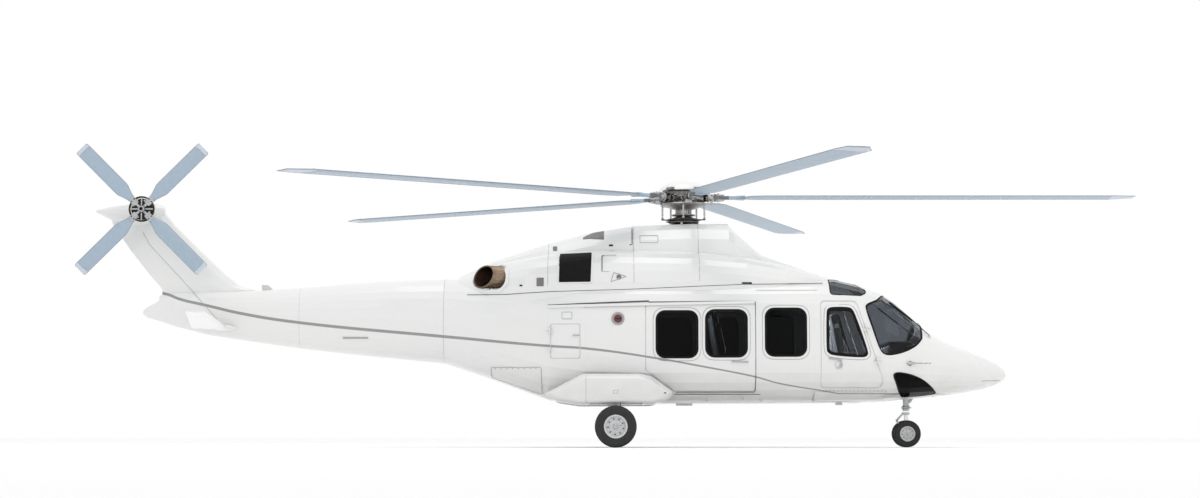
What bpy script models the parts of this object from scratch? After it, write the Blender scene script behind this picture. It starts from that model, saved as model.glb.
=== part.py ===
"""Twin-engined helicopter, parked on its wheels with the doors shut.

Metres. The nose points to +X, the port side to +Y and up is +Z. The ground is z = 0, and y = 0 is the
plane of symmetry. x = 0 lies halfway between the front rotor tip and the rear rotor tip.
"""

import math

import bmesh
import bpy
from mathutils import Matrix, Vector

# Driving dimensions
GAP = 0.0003
FLATNESS = 0.000001
SEAM = 0.004
HINGED_SEAM = 0.010
WALL = 0.050
DOOR_THICKNESS = 0.040
PANE_THICKNESS = 0.012
PANE_RECESS = 0.003
POST_HALF_WIDTH = 0.035

BOOM_JOINT_X = -2.45
CABIN_AFT_X = -0.35
COCKPIT_X = 2.95
NOSE_JOINT_X = 4.95
NOSE_TIP_X = 5.885
FLOOR_Z = 0.94
BAY_AFT_X = -2.30
BAY_FLOOR_Z = 0.98
BAY_ROOF_Z = 2.20
FOOTWELL_Z = 0.80
FOOTWELL_X = 3.98

MAST_X = 1.10
ROTOR_Z = 3.72
ROTOR_RADIUS = 6.70
BLADES = 5
BLADE_ROOT = 0.62
BLADE_CHORD = 0.50
FAIRING_TOP_Z = 3.337
POWERPLANT_TOP_Z = 3.10
RING_Z = 3.375

TAIL_HUB = Vector((-6.90, -0.55, 3.50))
TAIL_ROTOR_RADIUS = 1.28
TAIL_BLADES = 4
TAIL_CHORD = 0.215

MAIN_WHEEL_X = 0.075
TRACK = 3.04
MAIN_WHEEL_RADIUS = 0.30
MAIN_WHEEL_WIDTH = 0.20
SPONSON_HALF_WIDTH = 1.57
NOSE_WHEEL_X = 4.40
NOSE_STRUT_X = 4.40
NOSE_WHEEL_RADIUS = 0.20
NOSE_WHEEL_WIDTH = 0.12
NOSE_WHEEL_SPACING = 0.26

HINGE_RADIUS = 0.011
HINGE_STAND_OFF = 0.014
LEAF_LENGTH = 0.055
LEAF_DEPTH = 0.040
BARREL_HALF_LENGTH = 0.025
BARREL_END = 0.065
HINGE_INSET = 0.080
AFT, FORWARD = -1, 1
DOOR_BEVEL = 0.045

EXHAUST_START = Vector((-1.36, -0.420, 2.500))
EXHAUST_END = Vector((-2.12, -0.677, 2.500))
EXHAUST_MOUTH = Vector((-1.855, -0.590, 2.500))
EXHAUST_FACING = Vector((-1.0, -1.18, 0.364))
EXHAUST_RADIUS = 0.165
EXHAUST_WALL = 0.015
EXHAUST_CLEARANCE = 0.012

HOOK_PLATE = ((0.98, -0.12, 0.615), (1.22, 0.12, 0.70))
JACK_PAD = ((3.35, -0.05, 0.625), (3.45, 0.05, 0.70))
CONSOLE_HALF_WIDTH = 0.16
PANEL_HALF_WIDTH = 0.72
CREW_SEAT_X = 3.30
CREW_SEAT_Y = 0.47
CREW_SEAT_HALF_WIDTH = 0.24
BENCH_BACKS_X = (0.10, 1.55)
BENCH_HALF_WIDTH = 0.88

WELL_X = (-0.300, 0.450)
WELL_Y = (1.200, 1.500)
WELL_TOP_Z = 0.930
NOSE_WELL_TOP_Z = 1.04
NOSE_WELL_X = (4.09, 4.80)
NOSE_WELL_HALF_WIDTH = 0.22
WELL_WALL = 0.05
LEG_Y = 1.345
AXLE_RADIUS = 0.030
NOSE_AXLE_RADIUS = 0.016
AXLE_PLAY = 0.0003
FORK_TOP_Z = 0.52
FORK_HALF_WIDTH = 0.055

COWL_BASE_Z = 2.05
COWLING_SPLIT_X = 0.345
COWLING_WALL = 0.030
MAST_HOLE_RADIUS = 0.150
ENGINE_DECK_Z = 2.44 + GAP
ENGINE_TOP_Z = 2.58
ENGINE_HALF_WIDTH = 0.16
FIREWALL_BOX = ((-0.25, -0.55, ENGINE_DECK_Z), (0.60, 0.55, 2.80))
GEARBOX_BOX = ((0.55, -0.42, ENGINE_DECK_Z), (1.62, 0.42, 2.90))

RAIL_STATIONS = (-0.915, -0.60, -0.35, 0.0, 0.40, 2.09)
RAIL_Z = (2.040, 2.098)
RAIL_HALF_HEIGHT = 0.020
RAIL_PROUD = 0.022
RAIL_DEPTH = 0.040

MAST_RADIUS = 0.085
ARM_REACH = 0.46
ARM_RADIUS = 0.085
CAP_BASE = 0.092
LINK_X = 0.309
LINK_Y = -0.115
LINK_RADIUS = 0.012
SWASH_RING_RADIUS = 0.265
BLADE_AXIS = 0.25
TAIL_SHAFT_END = 0.075

RING_POINTS = 28
SIDES = {"right": -1, "left": 1}

# The fuselage skin: x, bottom, top, half width, height of the widest line, power above it, power below it
HULL = [
    (-6.72, 1.880, 2.255, 0.060, 2.08, 2.0, 2.0),
    (-6.50, 1.800, 2.300, 0.130, 2.06, 2.0, 2.0),
    (-6.00, 1.670, 2.325, 0.200, 2.02, 2.1, 2.1),
    (-5.30, 1.560, 2.330, 0.265, 1.97, 2.2, 2.2),
    (-4.60, 1.462, 2.370, 0.325, 1.93, 2.3, 2.3),
    (-3.90, 1.380, 2.430, 0.385, 1.90, 2.4, 2.4),
    (-3.20, 1.310, 2.475, 0.445, 1.88, 2.5, 2.5),
    (-2.45, 1.237, 2.495, 0.530, 1.82, 2.7, 2.6),
    (-1.90, 1.055, 2.480, 0.690, 1.68, 3.0, 2.7),
    (-1.40, 0.870, 2.440, 0.850, 1.54, 3.4, 2.7),
    (-0.90, 0.690, 2.440, 0.990, 1.42, 3.8, 2.8),
    (-0.35, 0.645, 2.440, 1.090, 1.33, 4.2, 2.8),
    (0.40, 0.635, 2.440, 1.130, 1.30, 4.4, 2.8),
    (2.20, 0.640, 2.440, 1.130, 1.30, 4.4, 2.8),
    (2.95, 0.645, 2.465, 1.125, 1.30, 4.2, 2.8),
    (3.28, 0.650, 2.480, 1.110, 1.30, 3.9, 2.8),
    (3.64, 0.657, 2.400, 1.085, 1.29, 3.6, 2.7),
    (3.98, 0.671, 2.275, 1.045, 1.27, 3.3, 2.7),
    (4.18, 0.685, 2.146, 1.010, 1.26, 3.2, 2.6),
    (4.36, 0.700, 1.996, 0.965, 1.24, 3.0, 2.6),
    (4.53, 0.715, 1.850, 0.910, 1.22, 2.8, 2.5),
    (4.68, 0.730, 1.715, 0.850, 1.20, 2.6, 2.5),
    (4.95, 0.765, 1.560, 0.720, 1.16, 2.4, 2.4),
    (5.25, 0.805, 1.444, 0.560, 1.12, 2.3, 2.3),
    (5.55, 0.865, 1.330, 0.380, 1.09, 2.2, 2.2),
    (5.75, 0.930, 1.235, 0.230, 1.08, 2.1, 2.1),
    (5.85, 0.995, 1.150, 0.110, 1.07, 2.0, 2.0),
    (5.885, 1.045, 1.095, 0.035, 1.07, 2.0, 2.0),
]

# The wide lower part of the engine cowling: x, top, half width
NACELLE = [
    (-2.24, 2.500, 0.420),
    (-1.75, 2.700, 0.660),
    (-1.25, 2.810, 0.830),
    (-0.75, 2.890, 0.920),
    (0.00, 2.930, 0.965),
    (1.20, 2.905, 0.965),
    (2.00, 2.815, 0.930),
    (2.60, 2.690, 0.850),
    (3.22, 2.510, 0.720),
]

# The narrow upper part, up to the rotor mast: x, top, half width
SPINE = [
    (-2.24, 2.530, 0.200),
    (-1.73, 2.767, 0.340),
    (-1.00, 3.005, 0.470),
    (-0.30, 3.194, 0.560),
    (0.345, 3.300, 0.600),
    (1.20, 3.337, 0.600),
    (1.76, 3.325, 0.540),
    (1.84, 3.220, 0.500),
    (2.25, 2.855, 0.420),
    (2.60, 2.735, 0.400),
    (3.22, 2.515, 0.360),
]

# The fin: height, leading edge x, trailing edge x, half thickness
FIN = [
    (1.980, -5.100, -6.690, 0.050),
    (2.340, -5.299, -6.680, 0.085),
    (2.400, -5.524, -6.720, 0.085),
    (2.579, -5.750, -6.880, 0.083),
    (2.939, -6.128, -7.165, 0.080),
    (3.314, -6.507, -7.430, 0.078),
    (3.560, -6.700, -7.500, 0.075),
]

# The gearbox fairing on top of the fin: x, bottom, top, half width
FIN_CAP = [
    (-7.685, 3.505, 3.540, 0.020),
    (-7.450, 3.380, 3.590, 0.075),
    (-7.200, 3.290, 3.630, 0.115),
    (-6.950, 3.290, 3.655, 0.135),
    (-6.780, 3.340, 3.640, 0.115),
    (-6.655, 3.440, 3.590, 0.050),
]

# The tail bumper under the fin: x, bottom, top, half width
TAIL_BUMPER = [
    (-6.960, 1.975, 2.035, 0.030),
    (-6.900, 1.925, 2.085, 0.055),
    (-6.720, 1.875, 2.180, 0.085),
    (-6.300, 1.790, 2.230, 0.120),
]

# The stabiliser: y, leading edge x, trailing edge x, height, half thickness
STABILISER = [
    (0.19, -5.500, -6.190, 1.760, 0.050),
    (0.40, -5.660, -6.180, 1.775, 0.040),
    (2.08, -5.700, -5.980, 1.915, 0.020),
]

# The sponson's rim seen from the side, at its shoulder and the smaller one at its outer face: x, z
SPONSON_ROOT = [
    (-0.95, 0.765), (-0.40, 1.055), (0.43, 1.055), (0.58, 1.020), (0.90, 0.790),
    (0.84, 0.695), (0.62, 0.622), (-0.45, 0.615), (-0.78, 0.665),
]
SPONSON_TIP = [
    (-0.87, 0.768), (-0.37, 1.000), (0.41, 1.000), (0.55, 0.965), (0.83, 0.790),
    (0.78, 0.712), (0.58, 0.655), (-0.44, 0.650), (-0.72, 0.692),
]
SPONSON_INNER_Y = 0.80
SPONSON_SHOULDER_Y = 1.45

# One side of a thin aerofoil: share of the chord from the leading edge, share of the half thickness
FOIL = [(0.0, 0.0), (0.03, 0.42), (0.12, 0.80), (0.32, 1.0), (0.65, 0.62), (1.0, 0.06)]

# A seat's profile seen from the side, forward of its back face: x, height above the floor
SEAT_PROFILE = [
    (0.02, 0.0), (0.44, 0.0), (0.44, 0.24), (0.50, 0.30), (0.50, 0.40),
    (0.16, 0.38), (0.02, 1.08), (-0.10, 1.08), (-0.02, 0.30), (0.02, 0.30),
]

# A main blade's grip, outwards along it: radius, half width, half thickness
BLADE_GRIP = [
    (ARM_REACH + GAP, 0.065, 0.060),
    (0.540, 0.055, 0.022),
    (BLADE_ROOT, 0.055, 0.015),
    (0.900, 0.060, 0.013),
]

# A main blade, outwards along it: radius, chord, half thickness, shift of the leading edge
BLADE = [
    (0.780, 0.160, 0.016, -0.085),
    (0.880, 0.200, 0.020, -0.075),
    (1.020, 0.440, 0.022, -0.010),
    (1.220, BLADE_CHORD, 0.024, 0.0),
    (ROTOR_RADIUS - 0.30, BLADE_CHORD, 0.020, 0.0),
    (ROTOR_RADIUS, 0.300, 0.010, -0.160),
]

# A tail rotor blade, outwards along it: radius, chord, half thickness, shift of the leading edge
TAIL_BLADE = [
    (0.17, 0.090, 0.016, -0.062),
    (0.26, 0.110, 0.015, -0.052),
    (0.42, TAIL_CHORD, 0.013, 0.0),
    (TAIL_ROTOR_RADIUS - 0.06, TAIL_CHORD, 0.010, 0.0),
    (TAIL_ROTOR_RADIUS, TAIL_CHORD - 0.06, 0.007, -0.030),
]

# The mast and hub, upwards from the foot of the mast: radius, height
HUB = [
    (MAST_RADIUS, POWERPLANT_TOP_Z + GAP),
    (MAST_RADIUS, ROTOR_Z - 0.270),
    (0.180, ROTOR_Z - 0.268),
    (0.180, ROTOR_Z - 0.255),
    (0.100, ROTOR_Z - 0.250),
    (0.100, ROTOR_Z - 0.175),
    (0.340, ROTOR_Z - 0.112),
    (0.362, ROTOR_Z - 0.095),
    (0.345, ROTOR_Z - 0.078),
    (0.160, ROTOR_Z - 0.060),
    (0.160, ROTOR_Z + 0.050),
    (0.110, ROTOR_Z + 0.056),
    (0.110, ROTOR_Z + CAP_BASE),
]

# The dome over the hub: radius, height above its base
CAP = [(0.355, 0.0), (0.370, 0.010), (0.335, 0.070), (0.255, 0.122), (0.150, 0.158), (0.040, 0.171)]

# The tail rotor's drum, outwards from the end of its shaft: radius, distance
TAIL_DRUM = [
    (0.055, 0.0), (0.055, 0.040), (0.170, 0.045), (0.190, 0.075),
    (0.190, 0.120), (0.060, 0.130), (0.040, 0.160),
]

# Windows and doors seen from the side, as corner points: x, z
CABIN_DOOR = [(0.51, 1.12), (0.95, 0.80), (2.10, 0.80), (2.10, 2.115), (0.51, 2.10)]
DOOR_WINDOWS = {
    "aft": [(0.66, 1.289), (1.267, 1.289), (1.267, 1.975), (0.66, 1.975)],
    "forward": [(1.375, 1.300), (1.980, 1.300), (1.980, 1.990), (1.375, 1.990)],
}
FIXED_WINDOW = [(2.238, 1.312), (2.836, 1.312), (2.836, 2.012), (2.238, 2.012)]
CREW_DOOR = [(3.04, 0.856), (3.915, 0.856), (3.960, 0.950), (3.565, 2.125), (3.04, 2.125)]
CREW_WINDOW = [(3.135, 1.345), (3.735, 1.290), (3.515, 2.035), (3.115, 2.035)]
WINDSHIELD = [
    (3.690, 2.100), (3.930, 1.345), (4.100, 1.300), (4.470, 1.500), (4.620, 1.700),
    (4.300, 2.230), (3.950, 2.230),
]
EYEBROW = [(3.194, 2.215), (3.640, 2.200), (3.770, 2.262), (3.560, 2.420), (3.194, 2.470)]
CHIN = [
    (4.110, 1.050), (4.240, 0.600), (4.860, 0.600), (4.840, 0.780), (4.640, 0.945),
    (4.430, 1.050), (4.170, 1.100),
]
CHIN_INNER_Y = 0.36
BAGGAGE_DOOR = [(-0.870, 1.285), (-0.435, 1.285), (-0.435, 1.790), (-0.870, 1.790)]
INTAKE = [(-0.746, 2.400), (-0.280, 2.400), (-0.280, 2.850), (-0.746, 2.850)]
EXHAUST_HOLE = [
    (-1.900, 2.310), (-1.620, 2.305), (-1.525, 2.400), (-1.525, 2.600), (-1.620, 2.670), (-1.900, 2.670),
]


def clear_scene():
    for obj in list(bpy.data.objects):
        bpy.data.objects.remove(obj)


def paint(name, colour, roughness, metallic=0.0):
    """A plain material of this colour, made once."""
    if name in bpy.data.materials:
        return bpy.data.materials[name]
    made = bpy.data.materials.new(name)
    made.use_nodes = True
    shader = made.node_tree.nodes["Principled BSDF"]
    shader.inputs["Base Color"].default_value = (*colour, 1.0)
    shader.inputs["Roughness"].default_value = roughness
    shader.inputs["Metallic"].default_value = metallic
    made.diffuse_color = (*colour, 1.0)
    return made


def white_paint():
    return paint("white_gloss_paint", (0.80, 0.80, 0.79), 0.25)


def blade_paint():
    return paint("blue_grey_blade_paint", (0.44, 0.52, 0.61), 0.45)


def metal():
    return paint("machined_steel", (0.35, 0.34, 0.33), 0.40, 1.0)


def hot_metal():
    return paint("heat_tinted_steel", (0.36, 0.27, 0.20), 0.35, 1.0)


def dark_glass():
    return paint("tinted_acrylic", (0.03, 0.035, 0.04), 0.06)


def rubber():
    return paint("tyre_rubber", (0.03, 0.03, 0.03), 0.85)


def seat_leather():
    return paint("grey_seat_leather", (0.24, 0.24, 0.25), 0.55)


def panel_black():
    return paint("matt_black_panel", (0.03, 0.03, 0.03), 0.6)


def add(points, faces):
    """A closed mesh object from its points and faces, with the faces turned outwards."""
    mesh = bpy.data.meshes.new("solid")
    mesh.from_pydata([tuple(point) for point in points], [], faces)
    shape = bmesh.new()
    shape.from_mesh(mesh)
    bmesh.ops.recalc_face_normals(shape, faces=shape.faces)
    shape.to_mesh(mesh)
    shape.free()
    obj = bpy.data.objects.new("solid", mesh)
    bpy.context.scene.collection.objects.link(obj)
    return obj


def combine(obj, tool, operation):
    """Joins, cuts or keeps obj with the tool, which is used up."""
    step = obj.modifiers.new(operation, "BOOLEAN")
    step.operation = operation
    step.object = tool
    bpy.context.view_layer.update()
    graph = bpy.context.evaluated_depsgraph_get()
    result = bpy.data.meshes.new_from_object(obj.evaluated_get(graph))
    obj.modifiers.clear()
    obj.data = result
    bpy.data.objects.remove(tool)
    return obj


def cut(obj, tool):
    return combine(obj, tool, "DIFFERENCE")


def keep(obj, tool):
    return combine(obj, tool, "INTERSECT")


def join(obj, tool):
    return combine(obj, tool, "UNION")


def finish(obj, name, material, smooth_angle=35):
    """Names the finished solid, cleans slivers left by the cuts and shades it."""
    obj.name = name
    obj.data.name = name
    shape = bmesh.new()
    shape.from_mesh(obj.data)
    bmesh.ops.remove_doubles(shape, verts=shape.verts, dist=0.00002)
    bmesh.ops.dissolve_degenerate(shape, edges=shape.edges, dist=0.00001)
    shape.to_mesh(obj.data)
    shape.free()
    obj.data.materials.clear()
    obj.data.materials.append(material)
    obj.data.shade_smooth()
    obj.data.set_sharp_from_angle(angle=math.radians(smooth_angle))
    return obj


def set_origin(obj, centre):
    """Moves the object's origin onto its joint's axis and leaves the shape in place."""
    centre = Vector(centre)
    obj.data.transform(Matrix.Translation(-centre))
    obj.location = centre


def block(low, high):
    xs, ys, zs = zip(low, high)
    points = [(x, y, z) for x in xs for y in ys for z in zs]
    faces = [(0, 1, 3, 2), (4, 6, 7, 5), (0, 4, 5, 1), (2, 3, 7, 6), (0, 2, 6, 4), (1, 5, 7, 3)]
    return add(points, faces)


def patch(points, corners):
    """One side face of a loft. A warped one is split, the same way on both sides of the craft."""
    a, b, c, d = (Vector(points[index]) for index in corners)
    warp = abs((b - a).cross(d - a).normalized().dot(c - a))
    if warp < FLATNESS:
        return [corners]
    first, second, third, fourth = corners
    if a.y + b.y + c.y + d.y >= 0:
        return [(first, second, third), (first, third, fourth)]
    return [(second, third, fourth), (second, fourth, first)]


def loft(rings):
    """A closed solid through rings of the same number of points."""
    count = len(rings[0])
    points = [point for ring in rings for point in ring]
    faces = [tuple(range(count)), tuple(range(len(points) - count, len(points)))]
    for layer in range(len(rings) - 1):
        for k in range(count):
            after = (k + 1) % count
            base = layer * count
            corners = (base + k, base + after, base + count + after, base + count + k)
            faces += patch(points, corners)
    return add(points, faces)


def prism(outline, y_from, y_to):
    """An outline of (x, z) points, drawn out from y_from to y_to."""
    return loft([[(x, y, z) for x, z in outline] for y in (y_from, y_to)])


def side_prism(outline, side, inner=0.03, outer=1.9):
    return prism(outline, side * inner, side * outer)


def turned(profile, centre, axis, sides=24):
    """A solid turned about the axis through centre, from (radius, distance along the axis) points."""
    turn = Vector(axis).to_track_quat("Z", "Y").to_matrix()
    rings = []
    for radius, along in profile:
        ring = []
        for k in range(sides):
            angle = 2 * math.pi * k / sides
            local = Vector((radius * math.cos(angle), radius * math.sin(angle), along))
            ring.append(Vector(centre) + turn @ local)
        rings.append(ring)
    return loft(rings)


def bar(start, end, radius, sides=12, end_radius=None):
    start = Vector(start)
    length = (Vector(end) - start).length
    profile = [(radius, 0.0), (radius if end_radius is None else end_radius, length)]
    return turned(profile, start, Vector(end) - start, sides)


def rounded(corners, radius, steps=3):
    """The outline of a polygon whose corners are arcs of this radius."""
    outline = []
    count = len(corners)
    for k, corner in enumerate(corners):
        here = Vector(corner)
        before = (Vector(corners[k - 1]) - here).normalized()
        after = (Vector(corners[(k + 1) % count]) - here).normalized()
        half = before.angle(after) / 2
        reach = min(
            radius / math.tan(half),
            0.45 * (Vector(corners[k - 1]) - here).length,
            0.45 * (Vector(corners[(k + 1) % count]) - here).length,
        )
        arc = reach * math.tan(half)
        centre = here + (before + after).normalized() * (arc / math.sin(half))
        first = here + before * reach - centre
        last = here + after * reach - centre
        sweep = first.angle_signed(last)
        for step in range(steps + 1):
            angle = -sweep * step / steps
            turned_point = centre + Matrix.Rotation(angle, 2) @ first
            outline.append((turned_point.x, turned_point.y))
    return outline


def offset(outline, inwards):
    """The outline moved inwards by this much, or outwards where it is negative."""
    count = len(outline)
    area = sum(
        outline[k - 1][0] * outline[k][1] - outline[k][0] * outline[k - 1][1] for k in range(count)
    )
    turn = 1 if area > 0 else -1
    moved = []
    for k in range(count):
        here = Vector(outline[k])
        back = (here - Vector(outline[k - 1])).normalized()
        ahead = (Vector(outline[(k + 1) % count]) - here).normalized()
        normal_back = Vector((-back.y, back.x)) * turn
        normal_ahead = Vector((-ahead.y, ahead.x)) * turn
        middle = (normal_back + normal_ahead).normalized()
        point = here + middle * inwards / middle.dot(normal_ahead)
        moved.append((point.x, point.y))
    return moved


def section_at(x):
    """The hull's row at any x, read between the two rows of the table that hold it."""
    for row, following in zip(HULL, HULL[1:]):
        if row[0] <= x <= following[0]:
            share = (x - row[0]) / (following[0] - row[0])
            return [a + (b - a) * share for a, b in zip(row, following)]
    raise ValueError(x)


def hull_ring(row, inset=0.0, points=RING_POINTS):
    """One section of the hull: two half superellipses that meet on the widest line."""
    x, bottom, top, half_width, widest, power_up, power_down = row
    ring = []
    for k in range(points):
        angle = 2 * math.pi * k / points
        across, up = math.cos(angle), math.sin(angle)
        power = 2 / (power_up if up >= 0 else power_down)
        height = (top - widest if up >= 0 else widest - bottom) - inset
        y = math.copysign(abs(across) ** power, across) * (half_width - inset)
        z = widest + math.copysign(abs(up) ** power, up) * height
        ring.append((x, y, z))
    return ring


def hull(x_from, x_to, inset=0.0, points=RING_POINTS):
    """The hull's solid between two stations, inset from the skin."""
    rows = [section_at(x_from)]
    rows += [row for row in HULL if x_from + 0.02 < row[0] < x_to - 0.02]
    rows += [section_at(x_to)]
    return loft([hull_ring(row, inset, points) for row in rows])


def skin(x_from, x_to, outer, inner):
    """A tube of the hull's skin between two insets, open at both ends."""
    return cut(hull(x_from, x_to, outer), hull(x_from - 0.001, x_to + 0.001, inner))


def skin_y(x, z, side):
    """The y of the skin at this x and height."""
    _, bottom, top, half_width, widest, power_up, power_down = section_at(x)
    share = (z - widest) / (top - widest) if z >= widest else (widest - z) / (widest - bottom)
    power = power_up if z >= widest else power_down
    return side * half_width * (1 - min(1, share) ** power) ** (1 / power)


def pane(name, outline, side, inner=0.03):
    """A curved window pane that fills its hole in the skin, a little below the surface."""
    xs = [x for x, _ in outline]
    body = skin(min(xs) - 0.05, max(xs) + 0.05, PANE_RECESS, PANE_RECESS + PANE_THICKNESS)
    keep(body, side_prism(offset(outline, GAP), side, inner + GAP))
    return finish(body, name, dark_glass())


# The outlines, with their corners rounded once for the hole, the panel and the pane
CABIN_DOOR_LINE = rounded(CABIN_DOOR, 0.07)
DOOR_WINDOW_LINES = {place: rounded(corners, 0.13) for place, corners in DOOR_WINDOWS.items()}
FIXED_WINDOW_LINE = rounded(FIXED_WINDOW, 0.13)
CREW_DOOR_LINE = rounded(CREW_DOOR, 0.07)
CREW_DOOR_LINE_X = (CREW_DOOR[0][0] - 0.1, CREW_DOOR[1][0] + 0.1)
CREW_WINDOW_LINE = rounded(CREW_WINDOW, 0.09)
WINDSHIELD_LINE = rounded(WINDSHIELD, 0.10)
EYEBROW_LINE = rounded(EYEBROW, 0.04, 2)
CHIN_LINE = rounded(CHIN, 0.06)
BAGGAGE_DOOR_LINE = rounded(BAGGAGE_DOOR, 0.03, 2)
INTAKE_LINE = rounded(INTAKE, 0.04, 2)
EXHAUST_HOLE_LINE = rounded(EXHAUST_HOLE, 0.07, 2)


def hinge_line(low, high, stand_off):
    """A straight hinge axis just outside the skin, from two (x, z) points on the starboard side."""
    ends = []
    reach = max(abs(skin_y(x, z, 1)) for x, z in (low, high))
    middle = ((low[0] + high[0]) / 2, (low[1] + high[1]) / 2)
    reach = max(reach, abs(skin_y(*middle, 1))) + stand_off
    for x, z in (low, high):
        ends.append(Vector((x, -reach, z)))
    return ends


CREW_HINGE = hinge_line((3.900, 1.150), (3.690, 1.775), HINGE_STAND_OFF)
BAGGAGE_HINGE = hinge_line((-0.878, 1.330), (-0.878, 1.745), HINGE_STAND_OFF)


def mirrored(point, side):
    return Vector((point[0], -side * point[1], point[2]))


def knuckles(hinge, side, on_door, door_way):
    """The barrels and leaves of two hinges: the middle barrels are the door's, the end ones the frame's."""
    low, high = (mirrored(point, side) for point in hinge)
    along = (high - low).normalized()
    half = BARREL_HALF_LENGTH
    start, end = (-half, half) if on_door else (half + GAP, BARREL_END)
    reach = Vector((LEAF_LENGTH * (door_way if on_door else -door_way), 0, 0))
    inboard = Vector((0, -side * LEAF_DEPTH, 0))
    pieces = []
    for centre in (low + along * HINGE_INSET, high - along * HINGE_INSET):
        barrel = bar(centre + along * start, centre + along * end, HINGE_RADIUS, 8)
        ends = []
        for place in (start + 0.004, end - 0.004):
            root = centre + along * place
            tip = root + reach
            ends.append([root, tip, tip + inboard, root + inboard * 0.12])
        pieces.append(join(barrel, loft(ends)))
    return pieces


def attach_knuckles(obj, hinge, side, on_door, door_way):
    for piece in knuckles(hinge, side, on_door, door_way):
        join(obj, piece)


def exhaust_line(side, stretch=0.0):
    start, end = mirrored(EXHAUST_START, side), mirrored(EXHAUST_END, side)
    along = (end - start).normalized()
    return start - along * stretch, end + along * stretch


def exhaust_channel(side):
    """The cutter that leaves room for the jet pipe."""
    start, end = exhaust_line(side)
    return bar(start - (end - start) * 0.3, end, EXHAUST_RADIUS + EXHAUST_CLEARANCE, 20)


def cabin_shell():
    """The passenger cabin: floor box, sides and roof, with the door and window openings cut."""
    body = hull(CABIN_AFT_X + GAP, COCKPIT_X)
    room = hull(CABIN_AFT_X - 0.01, COCKPIT_X + 0.01, WALL)
    keep(room, block((-9, -3, FLOOR_Z), (9, 3, 9)))
    cut(body, room)
    for side in SIDES.values():
        cut(body, side_prism(CABIN_DOOR_LINE, side, 0.5))
        cut(body, side_prism(FIXED_WINDOW_LINE, side, 0.5))
    join(body, block(*HOOK_PLATE))
    return finish(body, "cabin_shell", white_paint())


def cockpit_shell():
    """The cockpit section: roof, belly, door frames and the frames of the windshield and lower windows."""
    body = hull(COCKPIT_X + GAP, NOSE_JOINT_X)
    room = hull(COCKPIT_X - 0.01, NOSE_JOINT_X - 0.10, WALL)
    keep(room, block((-9, -3, FOOTWELL_Z), (9, 3, 9)))
    cut(room, block((-9, -3, 0), (FOOTWELL_X, 3, FLOOR_Z)))
    well_low, well_high = NOSE_WELL_X
    half = NOSE_WELL_HALF_WIDTH
    box_low = (well_low - WELL_WALL, -half - WELL_WALL, 0)
    cut(room, block(box_low, (well_high + WELL_WALL, half + WELL_WALL, NOSE_WELL_TOP_Z + WELL_WALL)))
    cut(body, room)
    for side in SIDES.values():
        cut(body, side_prism(CREW_DOOR_LINE, side, 0.5))
        cut(body, side_prism(WINDSHIELD_LINE, side, POST_HALF_WIDTH))
        cut(body, side_prism(EYEBROW_LINE, side, 0.30))
        cut(body, side_prism(CHIN_LINE, side, CHIN_INNER_Y))
    cut(body, block((well_low, -half, 0), (well_high, half, NOSE_WELL_TOP_Z)))
    for side in SIDES.values():
        attach_knuckles(body, CREW_HINGE, side, False, AFT)
    join(body, block(*JACK_PAD))
    return finish(body, "cockpit_shell", white_paint())


def rear_fuselage():
    """The section behind the cabin, with the baggage bay reached from both sides."""
    body = hull(BOOM_JOINT_X + GAP, CABIN_AFT_X)
    bay = hull(BAY_AFT_X, CABIN_AFT_X - WALL, DOOR_THICKNESS, 16)
    keep(bay, block((-9, -3, BAY_FLOOR_Z), (9, 3, BAY_ROOF_Z)))
    cut(body, bay)
    for side in SIDES.values():
        cut(body, side_prism(BAGGAGE_DOOR_LINE, side, 0.4))
        attach_knuckles(body, BAGGAGE_HINGE, side, False, FORWARD)
        cut(body, exhaust_channel(side))
    return finish(body, "rear_fuselage", white_paint())


def oval_rings(table, count=12):
    """Oval sections from rows of x, bottom, top and half width."""
    rings = []
    for x, bottom, top, half_width in table:
        middle, height = (bottom + top) / 2, (top - bottom) / 2
        angles = [2 * math.pi * k / count for k in range(count)]
        rings.append([(x, half_width * math.cos(a), middle + height * math.sin(a)) for a in angles])
    return rings


def foil_outline():
    upper = [(share, height) for share, height in FOIL]
    lower = [(share, -height) for share, height in reversed(FOIL[1:])]
    return upper + lower


def tail_boom():
    """The tail boom with its fin, the gearbox fairing and the tail bumper."""
    body = hull(-6.72, BOOM_JOINT_X)
    rings = []
    for z, leading, trailing, half in FIN:
        rings.append([(leading + (trailing - leading) * s, half * h, z) for s, h in foil_outline()])
    join(body, loft(rings))
    join(body, loft(oval_rings(FIN_CAP)))
    join(body, loft(oval_rings(TAIL_BUMPER)))
    shaft_start = Vector((TAIL_HUB.x, -0.02, TAIL_HUB.z))
    shaft_end = TAIL_HUB + Vector((0, TAIL_SHAFT_END, 0))
    join(body, bar(shaft_start, shaft_end, 0.085, 16, 0.060))
    return finish(body, "tail_boom", white_paint())


def stabiliser(place, side):
    rings = []
    for y, leading, trailing, z, half in STABILISER:
        row = [(leading + (trailing - leading) * s, side * y, z + half * h) for s, h in foil_outline()]
        rings.append(row)
    body = loft(rings)
    cut(body, hull(-6.6, -5.0, -GAP))
    return finish(body, f"stabiliser_{place}", white_paint())


def nose_cone():
    return finish(hull(NOSE_JOINT_X + GAP, NOSE_TIP_X), "nose_cone", white_paint())


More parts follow.
